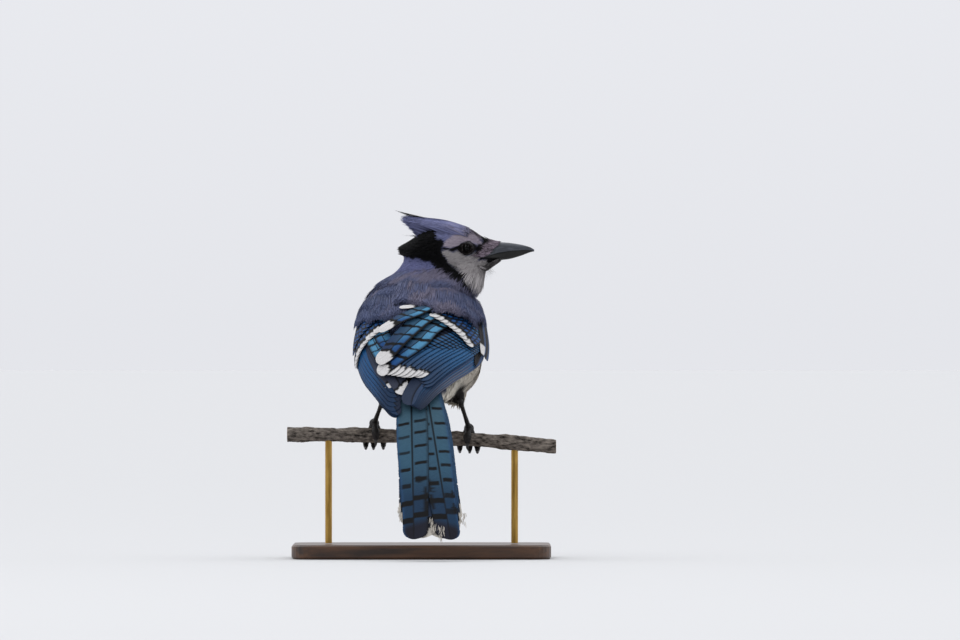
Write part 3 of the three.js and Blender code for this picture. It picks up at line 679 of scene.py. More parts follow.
def scatter(points, normals, quads, density, seed):
    """Seeded places on the skin, with density in tufts per square mm for each of its points."""
    chance = np.random.default_rng(seed)
    corner = points[quads]
    area = np.linalg.norm(np.cross(corner[:, 2] - corner[:, 0], corner[:, 3] - corner[:, 1]), axis=1) / 2
    wanted = area * density[quads].mean(axis=1)
    count = np.floor(wanted + chance.random(len(wanted))).astype(int)
    which = np.repeat(np.arange(len(quads)), count)
    u, v = chance.random((2, len(which), 1))
    weights = [(1 - u) * (1 - v), u * (1 - v), u * v, (1 - u) * v]
    place = sum(w * points[quads[which, k]] for k, w in enumerate(weights))
    normal = unit(sum(w * normals[quads[which, k]] for k, w in enumerate(weights)))
    return place, normal


# How far the middle of a blade stands over its edges, as a share of half its width
CREASE = 0.2


def blades(root, tip, up, width, hump, bend=0.0, steps=(0, 0.36, 0.72)):
    """Thin pointed blades of feather: points, polygons, share along, and share across of each."""
    count = len(root)
    side = unit(np.cross(up, tip - root))
    width, hump, bend = (np.broadcast_to(v, (count,))[:, None] for v in (width, hump, bend))
    rings = []
    for t in steps:
        centre = root + (tip - root) * t + up * hump * math.sin(min(t * 1.2, 1) * math.pi / 2)
        centre = centre + side * bend * t * t
        wide = width / 2 * (0.7 + 0.9 * t if t < 0.4 else 1.06 * (1 - t) ** 0.6 + 0.2)
        rings.append(np.stack([centre - side * wide, centre + up * CREASE * wide, centre + side * wide], 1))
    end = (tip + up * hump * 0.8 + side * bend)[:, None]
    points = np.concatenate([*rings, end], axis=1)
    size = points.shape[1]
    start = (np.arange(count) * size)[:, None, None]
    quads, last = [], 3 * (len(steps) - 1)
    for a in range(0, last, 3):
        quads += [(a, a + 3, a + 4, a + 1), (a + 1, a + 4, a + 5, a + 2), (a + 2, a + 5, a + 3, a)]
    thirds = [(last, size - 1, last + 1), (last + 1, size - 1, last + 2), (last + 2, size - 1, last)]
    thirds.append((0, 1, 2))
    polygons = [(start + np.array(quads)).reshape(-1, 4), (start + np.array(thirds)).reshape(-1, 3)]
    share = np.concatenate([np.repeat(np.array(steps), 3), [1.0]])
    across = np.concatenate([np.tile([-1.0, 0.0, 1.0], len(steps)), [0.0]])
    points = points.reshape(-1, 3)
    return points, outward(points, polygons), share, across


COAT_SLOT = "feather_grey"
BLUE_SLOT = "feather_blue"
# How fast the streaks change across and along a tuft, and across and along a vane, for each mm
TUFT_STREAKS = (3, 0.35)
VANE_STREAKS = (0.35, 2.2)
# Each piece's streaks start somewhere else in the noise, up to this far
STREAK_START = 900


def coat_piece(name, root, tip, up, width, hump, tint, seed, vary, **shape):
    """A piece of the coat, one blade from each root to its tip, a little darker at the root: painted shade
    where it tucks under the blades over it. up and tint are for each blade, or one for all."""
    chance = np.random.default_rng(seed)
    count = len(root)
    up, tint = np.broadcast_to(up, root.shape), np.broadcast_to(tint, root.shape)
    points, polygons, share, across = blades(root, tip, up, width, hump, **shape)
    vary = np.broadcast_to(vary, (count,))
    # pale: a random tone for each blade, times painted shade that darkens it towards the root
    pale = np.exp(chance.normal(0, 1, count) * vary)[:, None, None] * (0.8 + 0.28 * share[None, :, None])
    colours = np.clip(tint[:, None] * pale, 0, 1).reshape(-1, 3)
    place = bake_place(root)[:, None] + TUFT_PATCH / 2 * np.stack([across, share * 2 - 1], axis=-1)[None]
    far = np.linalg.norm(tip - root, axis=1)[:, None] * share[None]
    wide = np.broadcast_to(width, (count,))[:, None] * across[None]
    start = chance.uniform(0, STREAK_START, (count, 1))
    facts = stack(wide * TUFT_STREAKS[0] + start, far * TUFT_STREAKS[1], start).reshape(-1, 3)
    piece(name, points, polygons, MATERIALS["coat"], COAT_SLOT, colours, place.reshape(-1, 2), facts)


# The skin is drawn darker than the coat: painted shade, as between feathers
SKIN_SHADE = 0.62
SKIN_STREAKS = 0.8
skin_points, skin_normals, skin_quads = skin_mesh()
skin_object = piece(
    "skin", skin_points, [skin_quads], MATERIALS["coat"], COAT_SLOT,
    coat_tint(skin_points) * SKIN_SHADE, facts=skin_points * SKIN_STREAKS,
)
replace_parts(skin_object, "torso", "neck", "head", "thigh_left", "thigh_right")


# The coat
def laid(root, normal, way, long, lift):
    """Where tufts end that lie along the skin, and lift off it a little."""
    flat = unit(way - normal * np.sum(way * normal, axis=1, keepdims=True))
    return root + flat * long[:, None], unit(normal + flat * lift)


# The coat's pieces: tufts in each square mm, and the length, width and rise of each in mm
TUFTS = {
    "coat_mantle": (2.3, 7.2, 0.56, 0.65),
    "coat_back": (2.1, 7.2, 0.62, 0.7),
    "coat_breast": (1.6, 8.5, 0.74, 1.1),
    "coat_belly": (1.4, 9.5, 0.78, 1.4),
    "coat_face": (5.6, 3.6, 0.44, 0.7),
    "coat_nape": (5.0, 4.2, 0.5, 0.7),
}


def coat_zones():
    """Where each piece of the coat grows, as shares at the skin's points."""
    x, y, height = (skin_points - [0, HEAD_Y, PERCH_Z]).T
    fore, rise, degrees = round_trunk(skin_points)
    eye = (np.hypot((x - EYE_X) / 4.5, (height - EYE_Z) / 3.3) < 1) & (height > 100)
    bill_root = (x > 41.5) & (np.abs(y) < 5)
    gape = (x > 46.3 - 1.05 * (112.5 - height)) & (height > 103) & (height < 112.5)
    tail_end = (fore < -13) & (rise > 40)
    bare = eye | bill_root | gape | tail_end
    on_head = smooth(96, 102, height)
    above = (1 - on_head) * (degrees < 100)
    below = (1 - on_head) * (degrees >= 100)
    # fewer tufts where the wings cover them
    covered = smooth(37, 29, fore) * (degrees < 72)
    zones = {
        "coat_mantle": above * (fore >= 58),
        "coat_back": above * (fore < 58) * (1 - 0.7 * covered),
        "coat_breast": below * (fore >= 40),
        "coat_belly": below * (fore < 40),
        "coat_face": on_head * (x >= 14),
        "coat_nape": on_head * (x < 14),
    }
    return {name: zone * ~bare for name, zone in zones.items()}


def coat():
    zones = coat_zones()
    for seed, (name, (density, length, width, rise)) in enumerate(TUFTS.items()):
        root, normal = scatter(skin_points, skin_normals, skin_quads, density * zones[name], 40 + seed)
        chance = np.random.default_rng(60 + seed)
        count = len(root)
        x, z = root[:, 0], root[:, 2] - PERCH_Z
        _, fore, over = body_place(root)
        face = smooth(20, 38, x) * smooth(99, 103, z)
        nape = smooth(6, -5, x) * smooth(100, 104, z) * smooth(118, 114, z)
        throat = smooth(18, 28, x) * smooth(100, 95, z) * smooth(80, 86, z)
        vent = smooth(20, -10, fore) * (over < 45)
        hidden = smooth(30, 22, fore) * (over > 44)
        loose = (0.09 + 0.04 * nape + 0.1 * vent)[:, None]
        way = lie_way(root) + chance.normal(0, 1, (count, 3)) * loose
        long = length * chance.uniform(0.75, 1.2, count) * (1 - 0.5 * face) * (1 - 0.2 * nape)
        long = long * (1 + 0.5 * vent + 0.5 * throat)
        wide = width * chance.uniform(0.7, 1.2, count) * (1 - 0.35 * face)
        stand = rise * (1 - 0.35 * face - 0.3 * nape + 0.6 * vent + 0.5 * throat) * (1 - 0.7 * hidden)
        # short and close round the heels
        for side in SIDES.values():
            near = smooth(24, 9, np.linalg.norm(root - leg_place(side, HEEL), axis=1)) * (x * side > 8)
            long, stand = long * (1 - 0.62 * near), stand * (1 - 0.6 * near)
            way = way * (1 - near[:, None]) + np.array([side * 0.1, -0.5, -0.8]) * near[:, None]
        long = long * (1 - 0.6 * hidden)
        tip, up = laid(root, normal, way, long, 0.1)
        tint = coat_tint(root * 0.2 + tip * 0.8)
        # the forehead is flecked with black above the brow
        flecks = smooth(23, 27, x) * smooth(116.3, 118, z) * (wander(root, 1.6, 12) > 0.25)
        tint = tint * (1 - 0.85 * flecks[:, None])
        bend = chance.normal(0, 0.05, count) * long
        vary = 0.06 + 0.22 * np.maximum(face, throat) * (1 - smooth(114, 117, z)) + 0.05 * vent
        coat_piece(name, root, tip, up, wide, stand, tint, 80 + seed, vary, bend=bend)


def strays(chance, count, x, spread, z):
    """Random places of the head, between two x and two heights, and spread across."""
    return in_head(chance.uniform(*x, count), chance.normal(0, spread, count), chance.uniform(*z, count))


# The crest's feathers, by x of the root on the crown: x and height of the tip
CREST_TIPS = [
    (31, 21, 125.0), (24, 11, 126.2), (18, 2, 126.9), (12, -6, 127.8), (8, -11, 128.7),
    (5, -12, 127.4), (2.5, -9.4, 125.0), (0, -7, 122.6), (-2, -3, 119.6),
]


def crest():
    chance = np.random.default_rng(91)
    count = 5200
    x = mix(27.5, -2, chance.random(count) ** 0.85)
    spread = np.clip(chance.normal(0, 1, count) * mix(13, 24, smooth(4, 24, x)), -52, 52)
    root = head_points(x, spread)
    end_x, end_z = along(CREST_TIPS, x)
    off_middle = root[:, 1] - HEAD_Y
    y = off_middle * mix(0.35, 0.95, smooth(4, 26, x))
    tip = in_head(end_x, y + chance.normal(0, 0.25, count), end_z - 0.34 * np.abs(off_middle))
    tip = root + (tip - root) * chance.uniform(0.72, 1.06, count)[:, None]
    root = root + (root - tip) * 0.05 - np.array([0, 0, 0.8])
    tint = blend(TONES["crown"], TONES["crown"] * 0.75, np.clip(wander(root, 5, 9), 0, 1))
    tint = blend(tint, TONES["crown_front"], smooth(22, 31, x) * 0.8)
    tint = tint * (1 - 0.3 * smooth(3, -2, x)[:, None])
    # painted shade: the blades on the crest's flanks drawn darker than those along its top
    tint[np.abs(y) > 5.5] *= 0.9
    tint = blend(tint, TONES["brow"], smooth(20, 27, x) * np.clip(wander(root, 1.7, 13), 0, 1) * 0.7)
    tint = tint * (1 - 0.75 * (smooth(22, 27, x) * (wander(root, 1.5, 14) > 0.3))[:, None])
    hump = 0.9 * smooth(-2, 14, x) * smooth(30, 19, x)
    coat_piece(
        "crest", root, tip, off_head(np.radians(spread), 1.3), chance.uniform(0.35, 0.8, count), hump,
        tint, 92, 0.11, bend=chance.normal(0, 0.35, count), steps=(0, 0.3, 0.6, 0.85),
    )
    # the one long dark feather at the top of the crest
    count = 60
    root = strays(chance, count, (2, 12), 0.7, (124.6, 126))
    reach = chance.uniform(0, 1, count) ** 0.35
    end_y = chance.normal(0, 0.2, count)
    tip = in_head(mix(-9, -16.3, reach), end_y, mix(129, 132.4, reach) - chance.uniform(0, 0.3, count))
    coat_piece("crest_tip", root, tip, (0, 0, 1), 0.7, -0.2, TONES["black"] * 1.6, 93, 0.2)


# The black ruff's feathers behind the nape, by height of the root: x and height of the tip
RUFF_TIPS = [
    (117.5, -4, 115.4), (115, -8, 112.9), (112, -12.6, 110.6), (109.5, -14.4, 109.1),
    (107, -13.6, 107.1), (104.5, -12.4, 105.6), (102, -10.2, 104.2),
]


def ruff():
    """The black feathers of the nape, which stand out behind in a point, and a few loose hairs."""
    chance = np.random.default_rng(95)
    count = 1900
    x = mix(9, -9.5, chance.random(count) ** 0.8)
    angle = chance.uniform(10, 104, count) * np.where(chance.random(count) < 0.5, -1, 1)
    root = head_points(x, angle)
    height = root[:, 2] - PERCH_Z
    end_x, end_z = along(RUFF_TIPS, height)
    y = (root[:, 1] - HEAD_Y) * smooth(-20, 9, end_x)
    reach = chance.uniform(0.35, 1.03, count) + 0.16 * chance.random(count) ** 9
    reach = reach * mix(1.0, 0.62, smooth(-4, 9, x))
    tip = root + (in_head(end_x, y, end_z) - root) * reach[:, None]
    keep = height > 103.4
    root, tip, up = root[keep], tip[keep], off_head(np.radians(angle))[keep]
    count = len(root)
    tint = TONES["black"] * chance.uniform(0.6, 1.8, (count, 1))
    width = chance.uniform(0.4, 0.8, count)
    bend = chance.normal(0, 0.3, count)
    coat_piece("nape_ruff", root, tip, up, width, 0.7, tint, 96, 0.3, bend=bend)
    count = 9
    root = strays(chance, count, (-3, 0), 1, (116.4, 117.2))
    tip = strays(chance, count, (-12.5, -7), 1, (116.6, 117.6))
    bend = chance.normal(0, 0.6, count)
    coat_piece(
        "nape_hairs", root, tip, (0, -0.4, 1), 0.16, -0.1, TONES["black"] * 2, 97, 0.3, bend=bend
    )


# The lower edge of the shoulder feathers: degrees, and how far fore it lies
SCAPULAR_EDGE = {
    "left": [(14, 32), (26, 32), (37, 34), (48, 39), (57, 44), (63, 47), (80, 52)],
    "right": [
        (-22, 46), (-16, 43.5), (-5, 41.5), (0, 39.5), (10, 36.5), (18, 35), (28, 37), (37, 38),
        (50, 37.5), (60, 46), (70, 49),
    ],
}
# and between which degrees it lies lower, on the wing's own coverts
SCAPULAR_LOW = {"left": (34, 58), "right": (50, 75)}


def scapulars():
    """The long shoulder feathers that lie over the roots of the wing."""
    for name, side in SIDES.items():
        chance = np.random.default_rng(110 + side)
        count = 3300
        stops, ends = np.array(SCAPULAR_EDGE[name]).T
        degrees = chance.uniform(stops[0], stops[-1], count)
        edge = np.interp(degrees, stops, ends) + 1.2 * np.sin(degrees * 0.35) + chance.normal(0, 1.3, count)
        start = edge + chance.uniform(0, 1, count) ** 0.8 * 24
        long = np.maximum(np.minimum(start - edge, chance.uniform(9, 13, count)), 7)
        start = np.maximum(start, edge + 7)
        ahead = smooth(24, 6, start - edge)
        root = on_fold(start + 2, degrees * side, -2.2 + 1.8 * ahead)
        low = smooth(*SCAPULAR_LOW[name], degrees)
        lift = -0.7 + (2.6 - 1.9 * low) * ahead + chance.normal(0, 0.25, count) * (1 - 0.6 * low)
        tip = on_fold(start - long, degrees * side - side * 1.5, lift)
        up = out_of_fold(start, degrees * side)
        tint = coat_tint(root * 0.5 + tip * 0.5)
        width = chance.uniform(0.4, 0.8, count)
        bend = chance.normal(0, 0.5, count)
        coat_piece("scapulars_" + name, root, tip, up, width, 0.5, tint, 112 + side, 0.09, bend=bend)


def bristles():
    """Stiff little feathers over the nostrils, and fine hairs and dusky tufts at the chin."""
    chance = np.random.default_rng(121)
    count = 1700
    angle = chance.uniform(3, 97, count) * np.where(chance.random(count) < 0.5, -1, 1)
    # the front edge of the bristles slants back and down to the corner of the mouth
    front = np.interp(np.abs(angle), [0, 38, 58, 78, 90, 97], [46.6, 46, 44.3, 41.8, 39.6, 37.6])
    end = front - 5.5 * chance.random(count) ** 1.3
    x = end - chance.uniform(2.2, 5.2, count)
    root = head_points(x, angle) - np.array([0, 0, 0.6])
    half, top, mouth, _ = along(BILL, end)
    turn = np.radians(angle)
    tip_z = mouth + 0.2 + (top - mouth) * np.clip(np.cos(turn) * 1.1, 0, 1)
    tip = in_head(end, -(half + 0.4) * np.sin(turn), tip_z)
    shade = chance.random((count, 1))
    tint = TONES["brow"] * np.where(shade < 0.3, 0.12, 0.25 + 0.75 * shade) * np.array([1.0, 0.92, 0.95])
    tint = blend(tint, TONES["black"], smooth(3.6, 4.6, front - end))
    width = chance.uniform(0.2, 0.42, count)
    bend = chance.normal(0, 0.4, count)
    coat_piece("nasal_bristles", root, tip, off_head(turn), width, 0.25, tint, 122, 0.2, bend=bend)
    count = 260
    angle = chance.uniform(140, 220, count)
    root = head_points(chance.uniform(27, 41, count), angle)
    way = stack(
        chance.uniform(0.2, 1.1, count), chance.normal(0, 0.35, count), -chance.uniform(0.7, 1.3, count)
    )
    tip = root + unit(way) * chance.uniform(3, 6.5, count)[:, None]
    tint = TONES["cheek"] * chance.uniform(0.15, 0.8, (count, 1))
    coat_piece("chin_hairs", root, tip, (1, 0, 0.3), 0.14, 0.2, tint, 123, 0.2)
    # the tufts of the chin, which run on under the root of the bill
    count = 900
    x = chance.uniform(32, 41.5, count)
    angle = chance.uniform(126, 234, count)
    turn = np.radians(angle)
    root = head_points(x, angle)
    end = np.minimum(x + chance.uniform(2.5, 7, count), 48.2 - 2 * chance.random(count))
    low = np.interp(end, [34, 36, 39.5, 41, 44, 48], [94.8, 95.9, 98.2, 100.2, 101.9, 103.3])
    wide = np.interp(end, [34, 41, 48], [7.4, 4.4, 2.2])
    up_side = chance.uniform(0, 2.2, count) * np.abs(np.sin(turn))
    tip = in_head(end, -wide * np.sin(turn), low + up_side + 0.2)
    shade = np.where(chance.random((count, 1)) < 0.4, 0.12, 0.7)
    tint = TONES["cheek"] * shade * mix(1.2, 0.4, smooth(37, 45, end))[:, None]
    width = chance.uniform(0.22, 0.45, count)
    coat_piece("chin_tufts", root, tip, off_head(turn), width, 0.3, tint, 124, 0.3)


# Flight feathers: columns of points across the upper face of a vane, and across the lower one
COLUMNS = np.array(
    [-1, -0.93, -0.8, -0.6, -0.38, -0.2, -0.09, -0.03, 0.03, 0.09, 0.2, 0.38, 0.6, 0.8, 0.93, 1]
)
UNDER = np.array([0.9, 0.35, -0.35, -0.9])
# The vane's thickness, its shaft's height, and how ragged its edge is, as a share of its width
VANE_THICK = 0.22
SHAFT = 0.16
FRAY = 0.008
ROW_STEP = 0.55


def vane(points, outward, across, half, far, paint, chance, tilt, arch=0.1):
    """One flight feather: points, polygons, colours and facts. far is the way from the tip in mm,
    and half the width of its vane on each side of the shaft."""
    rows = len(points)
    slope = tilt / half.max()
    loose = chance.normal(0, 1, (rows, 2)) * FRAY
    for _ in range(int(1 + rows / 45)):
        # a split between barbs, near the tip more often
        at, side = int(rows * (1 - chance.random() ** 1.6)), chance.integers(2)
        loose[max(at - 1, 0) : at + 1, side] -= chance.uniform(0.02, 0.1)
    s = np.tile(COLUMNS, (rows, 1))
    s[:, 0] *= 1 + loose[:, 0]
    s[:, -1] *= 1 + loose[:, 1]

    def surface(share, rise):
        wide = np.where(share < 0, half[:, :1], half[:, 1:]) * share
        over = slope * wide - arch * np.abs(wide * share) * 0.5 + rise
        return points[:, None] + across[:, None] * wide[..., None] + outward[:, None] * over[..., None], wide

    hump = SHAFT * np.exp(-((COLUMNS / 0.06) ** 2)) * smooth(0, 14, far)[:, None]
    s_low = np.tile(UNDER, (rows, 1))
    top, wide = surface(s, hump + VANE_THICK / 2)
    under, wide_low = surface(s_low, -VANE_THICK / 2)
    made, polygons = loft(np.concatenate([top, under], axis=1))
    places = np.concatenate([np.tile(COLUMNS, (rows, 1)), s_low], axis=1)
    wide = np.concatenate([wide, wide_low], axis=1)
    away = np.broadcast_to(far[:, None], places.shape)
    colours = np.broadcast_to(paint(away, places, wide), (*places.shape, 3)).copy()
    colours[:, len(COLUMNS) :] *= 0.55
    barb = away + np.abs(wide) * 0.75
    start = chance.uniform(0, STREAK_START)
    facts = stack(wide * VANE_STREAKS[0] + start, barb * VANE_STREAKS[1], start)
    return made, polygons, colours.reshape(-1, 3), facts.reshape(-1, 3)


def merge(name, parts, replaced):
    """Joins vanes into one piece."""
    points, polygons = together([part[:2] for part in parts])
    colours = np.concatenate([part[2] for part in parts])
    facts = np.concatenate([part[3] for part in parts])
    made = piece(name, points, polygons, MATERIALS["flight"], BLUE_SLOT, colours, None, facts)
    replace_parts(made, *replaced)


def taper(t, point):
    quill = mix(0.5, 1, np.clip(t / 0.5, 0, 1))
    end = np.where(t < 0.75, 1, mix(1, point, (np.clip(t - 0.75, 0, 1) / 0.25) ** 2))
    tip = np.sqrt(np.clip(1 - ((t - 0.93) / 0.07) ** 2, 0, 1))
    return quill * end * np.where(t > 0.93, np.maximum(tip, 0.08), 1)


def fold_feather(side, root, tip, half, paint, chance, tilt=0.5, bow=1.2, point=0.6):
    """A feather lying in the fold. root and tip are (fore, degrees, lift); bow bends its way. root may
    hold stops on the way as well, and half may hold the inner and the outer half apart."""
    stops = np.vstack([np.atleast_2d(root), tip])
    reach = np.cumsum(np.hypot(*(np.diff(stops[:, :2], axis=0, prepend=stops[:1, :2]) * (1, 0.6)).T))
    table = np.column_stack([-reach / reach[-1], stops])

    def place(t):
        if len(stops) > 2:
            fore, degrees, lift = along(table, -t)
            return fore, degrees * side, lift
        fore, lift = mix(stops[0, 0], tip[0], t), mix(stops[0, 2], tip[2], t)
        return fore, mix(stops[0, 1], tip[1], np.maximum(t, 0) ** bow) * side, lift

    rough = on_fold(*place(np.linspace(0, 1, 20)))
    length = np.linalg.norm(np.diff(rough, axis=0), axis=1).sum()
    t = np.linspace(0, 1, max(12, int(length / ROW_STEP)))
    fore, degrees, lift = place(t)
    outward = out_of_fold(fore, degrees)
    way = on_fold(*place(t + 0.01)) - on_fold(*place(t - 0.01))
    across = unit(np.cross(outward, way)) * side
    half = np.broadcast_to(half, 2) * taper(t, point)[:, None]
    points = on_fold(fore, degrees, lift)
    return vane(points, outward, across, half, length * (1 - t), paint, chance, tilt)


INK = linear("#040508")
WHITE = linear("#cfcdcd")
BLOCK = linear("#4f8cb2")
BLOCK_DEEP = linear("#1b4880")
DUSK = linear("#252e42")
BROWN = linear("#6c686c")
DUSK_END = blend(DUSK, BROWN, 0.2)
STRIPE = linear("#2a5985")
STRIPE_DARK = linear("#2e496d")
RIGHT_END = linear("#2c374c")
LEFT_STRIPE = linear("#184a78")
LEFT_END = linear("#172236")
OUTER = linear("#1b191c")
OUTER_EDGE = linear("#34486a")


BAR_SOFT = 0.35


def bars(far, gap, thick, shift):
    """1 on dark bars across a feather, gap mm apart and thick mm wide."""
    near = np.abs((far + shift) % gap - gap / 2)
    return 1 - smooth(thick / 2 - BAR_SOFT, thick / 2 + BAR_SOFT, near)


def barred(gap, thick, white, chance, fade, edge, inner, slant=0.45):
    """The painter of a blue feather with black bars and a white tip. It darkens from fade's first distance
    from the tip to its second, has a black outer edge that is partly painted shadow where it lies over the
    next feather, and is dusky on its inner vane."""
    shift = chance.uniform(0, gap)
    phase = chance.uniform(0, 6)
    pale = chance.uniform(0.85, 1.1)

    def paint(far, s, wide):
        blue = blend(BLOCK, BLOCK_DEEP, smooth(*fade, far + 3 * np.sin(wide * 0.7 + phase)))
        bent = far - slant * wide + 0.3 * np.sin(wide * 1.3 + phase)
        width = thick * (1 + 0.35 * np.sin(far * 0.4 + phase))
        dusky = np.maximum((s < 0) * inner, smooth(0.55, 1.0, np.abs(s)) * 0.45)
        tint = layered(
            blend(blue, DUSK, dusky) * pale,
            (INK, bars(bent, gap, width, shift)),
            (INK, smooth(0.07, 0.03, np.abs(s)) * 0.85),
            # the black outer edge: the edge's own dark, with painted shadow where it lies over the next
            # feather
            (INK, smooth(1 - edge - 0.08, 1 - edge, s)),
        )
        if not white:
            return tint
        tip_way = far + 0.45 * np.abs(wide)
        border = white + 0.5 * np.sin(wide * 2 + phase)
        return layered(
            tint,
            (INK, smooth(border + 3.0, border + 2.2, tip_way)),
            (WHITE, smooth(border + 0.4, border - 0.4, tip_way)),
            (INK, smooth(0.06, 0.02, np.abs(s)) * 0.15),
        )

    return paint


def striped(chance, tone, white=0.0, bars_from=99, brown=0.0, end=DUSK_END):
    """The painter of a long feather: blue along its outer edge, dusky inside, and maybe brown. It has
    close bars near its root, from bars_from, and may have a white tip."""
    phase = chance.uniform(0, 6)

    def paint(far, s, wide):
        tint = layered(
            DUSK * 0.8,
            (tone, smooth(-0.1, 0.3, s) * smooth(1.1, 0.8, s)),
            (BROWN, smooth(0.55, 0.9, s) * smooth(66, 42, far) * brown),
            (end, smooth(34, 6, far) * 0.8),
        )
        checks = smooth(bars_from, bars_from + 5, far)
        tint = layered(
            tint * (1 - 0.1 * checks[..., None]),
            (INK, bars(far - 0.3 * wide, 2.9, 1.35, phase) * checks),
            (INK, smooth(0.12, 0.05, np.abs(s)) * 0.8),
        )
        if not white:
            return tint
        bent = far + 0.55 * wide + 0.5 * np.sin(wide * 2 + phase)
        tint = blend(tint, INK, smooth(white + 2.4, white + 1.4, bent))
        return blend(tint, WHITE, smooth(white + 0.4, white - 0.3, bent))

    return paint


def edged(white=None):
    """The painter of the outermost feathers: brown-black, blue at the outer edge. white is between
    which distances from the tip a white patch lies."""

    def paint(far, s, wide):
        tint = blend(OUTER, OUTER_EDGE, smooth(0.25, 0.6, s))
        tint = blend(tint, INK, smooth(0.1, 0.04, np.abs(s)))
        if not white:
            return tint
        near, away = white
        patch = smooth(near - 1, near + 0.4, far) * smooth(away + 1, away - 0.4, far)
        return blend(tint, WHITE, patch * smooth(0.75, 0.55, s))

    return paint


def feather_row(count, first, last, **shared):
    """A row of feathers, with root, tip and half mixed between the first one and the last."""
    made = []
    for t in np.linspace(0, 1, count):
        values = [np.array(a, float) * (1 - t) + np.array(b, float) * t for a, b in zip(first, last)]
        made.append((*values, shared))
    return made


# Where the right wing's secondaries end: place in the row, then fore, degrees and lift
SECONDARY_TIPS = [
    (5, -24, 3, 0.3),
    (4, -20, 0, 0.6),
    (3, -16.5, -9, 0.9),
    (2, -17, -19, 1.1),
    (1, -15, -29, 1.3),
    (0, -12, -40, 1.4),
]
# Along that row, the white at each secondary's tip, and then each primary's share of brown
SECONDARY_WHITE = (10.8, 9.8, 10.6, 9.4, 10, 8.8, 8, 0, 0, 0)
PRIMARY_BROWN = (0, 0, 0.1, 0.2, 0.4, 0.7, 0.9, 0.9, 0.9)


# Each wing is a list of rows, from the lowest to the one on top. A row is its feathers, as root, tip,
# half width and form, and what paints the feather of a number. Places are (fore, degrees, lift).
def right_wing(chance):
    ends = np.stack(along(SECONDARY_TIPS, np.linspace(0, 5, 10)), axis=-1)
    secondaries = [
        ((38 - 0.33 * i, 46 + 2.45 * i, -1.9), end, 5.1 - 0.08 * i, dict(bow=1.25, tilt=1.0, point=0.9))
        for i, end in enumerate(ends)
    ]
    upper_way = [
        (42, 72, -2), (34, 62, -1.8), (10, 39, -1.2), (-7, 19, -0.6), (-20, 2, -0.2), (-29.5, -10, 0),
    ]
    lower_way = [
        (40, 82, -2.8), (19, 74, -2.9), (0, 58, -2.9), (-15, 38, -2.8), (-25, 21, -2.6), (-32.5, 9, -2.4),
    ]
    upper = (upper_way, (-37.5, -16, 0.1), (7.4, 3.0))
    lower = (lower_way, (-39, -3, -2.2), (3.4, 2.1))
    longest_way = [
        (41, 37, -1.9), (24, 12, 0.2), (17.5, 5, 0.9), (9, -3, 1.4), (2, -16, 1.6), (-5.5, -38, 1.7),
    ]
    middle_way = [(45, 28, -1.8), (29, 3, 1.2), (15, -14, 2.3), (2.5, -33, 2.6)]
    short_way = [(50, 20, -1.5), (37, 3, 1.8), (32, -5, 2.7), (28.5, -15, 3.1), (24.5, -27, 3.2)]
    least_way = [(53, 14, -1.9), (43, 2, 0.2), (38.5, -9, 2.2)]
    alula = [
        ((58, 66, -1.8), (8, 66, -1.2), 3.4, dict(point=0.35)),
        ((56, 60, -1.6), (18, 68, 0.4), 2.6, dict(point=0.35)),
        ((58, 76, -1.8), (20, 75, 0.2), 2.8, dict(point=0.3)),
    ]
    coverts = feather_row(
        10, ((46, 18, -1.9), (29.5, 9, 1.9), 3), ((38, 62, -1.9), (15.5, 44, 1.3), 3), tilt=0.6, point=0.8
    )

    def tertial(way, tip, half, point, *looks):
        return [(way, tip, half, dict(point=point))], lambda i: barred(*looks[:3], chance, *looks[3:])

    def secondary(i):
        return striped(chance, STRIPE, SECONDARY_WHITE[i], 24 + 2.2 * i, end=RIGHT_END)

    def primary(i):
        tone = STRIPE if i % 2 else STRIPE_DARK * 1.2
        return striped(chance, tone, brown=PRIMARY_BROWN[i], end=RIGHT_END)

    return [
        tertial(longest_way, (-7.5, -51, 1.7), (6.2, 6.4), 0.95, 8.4, 2.0, 9.5, (36, 14), 0.16, 0.7, 0.36),
        (secondaries, secondary),
        (feather_row(9, upper, lower, tilt=0.9, point=0.9), primary),
        tertial(middle_way, (0, -46.5, 2.6), (6.8, 6.2), 0.9, 8.2, 1.9, 11, (40, 10), 0.2, 0.7, 0.36),
        tertial(short_way, (23, -36.5, 3.2), (4.4, 4.4), 0.85, 8, 1.8, 10, (26, 10), 0.34, 0.7, 0.6),
        tertial(least_way, (38, -17.5, 3.0), 2.2, 0.8, 7, 1.2, 8.5, (18, 9), 0.2, 0.4),
        (coverts, lambda i: barred(4.4, 1.8, chance.uniform(4.2, 6.6), chance, (40, 12), 0.16, 0.3)),
        (alula, lambda i: edged((None, (2, 9.5), None)[i])),
        (
            feather_row(5, ((60, 84, -2), (26, 84, -1.2), 2.8), ((68, 96, -2.2), (36, 92, -1.8), 2.4)),
            lambda i: edged(),
        ),
    ]


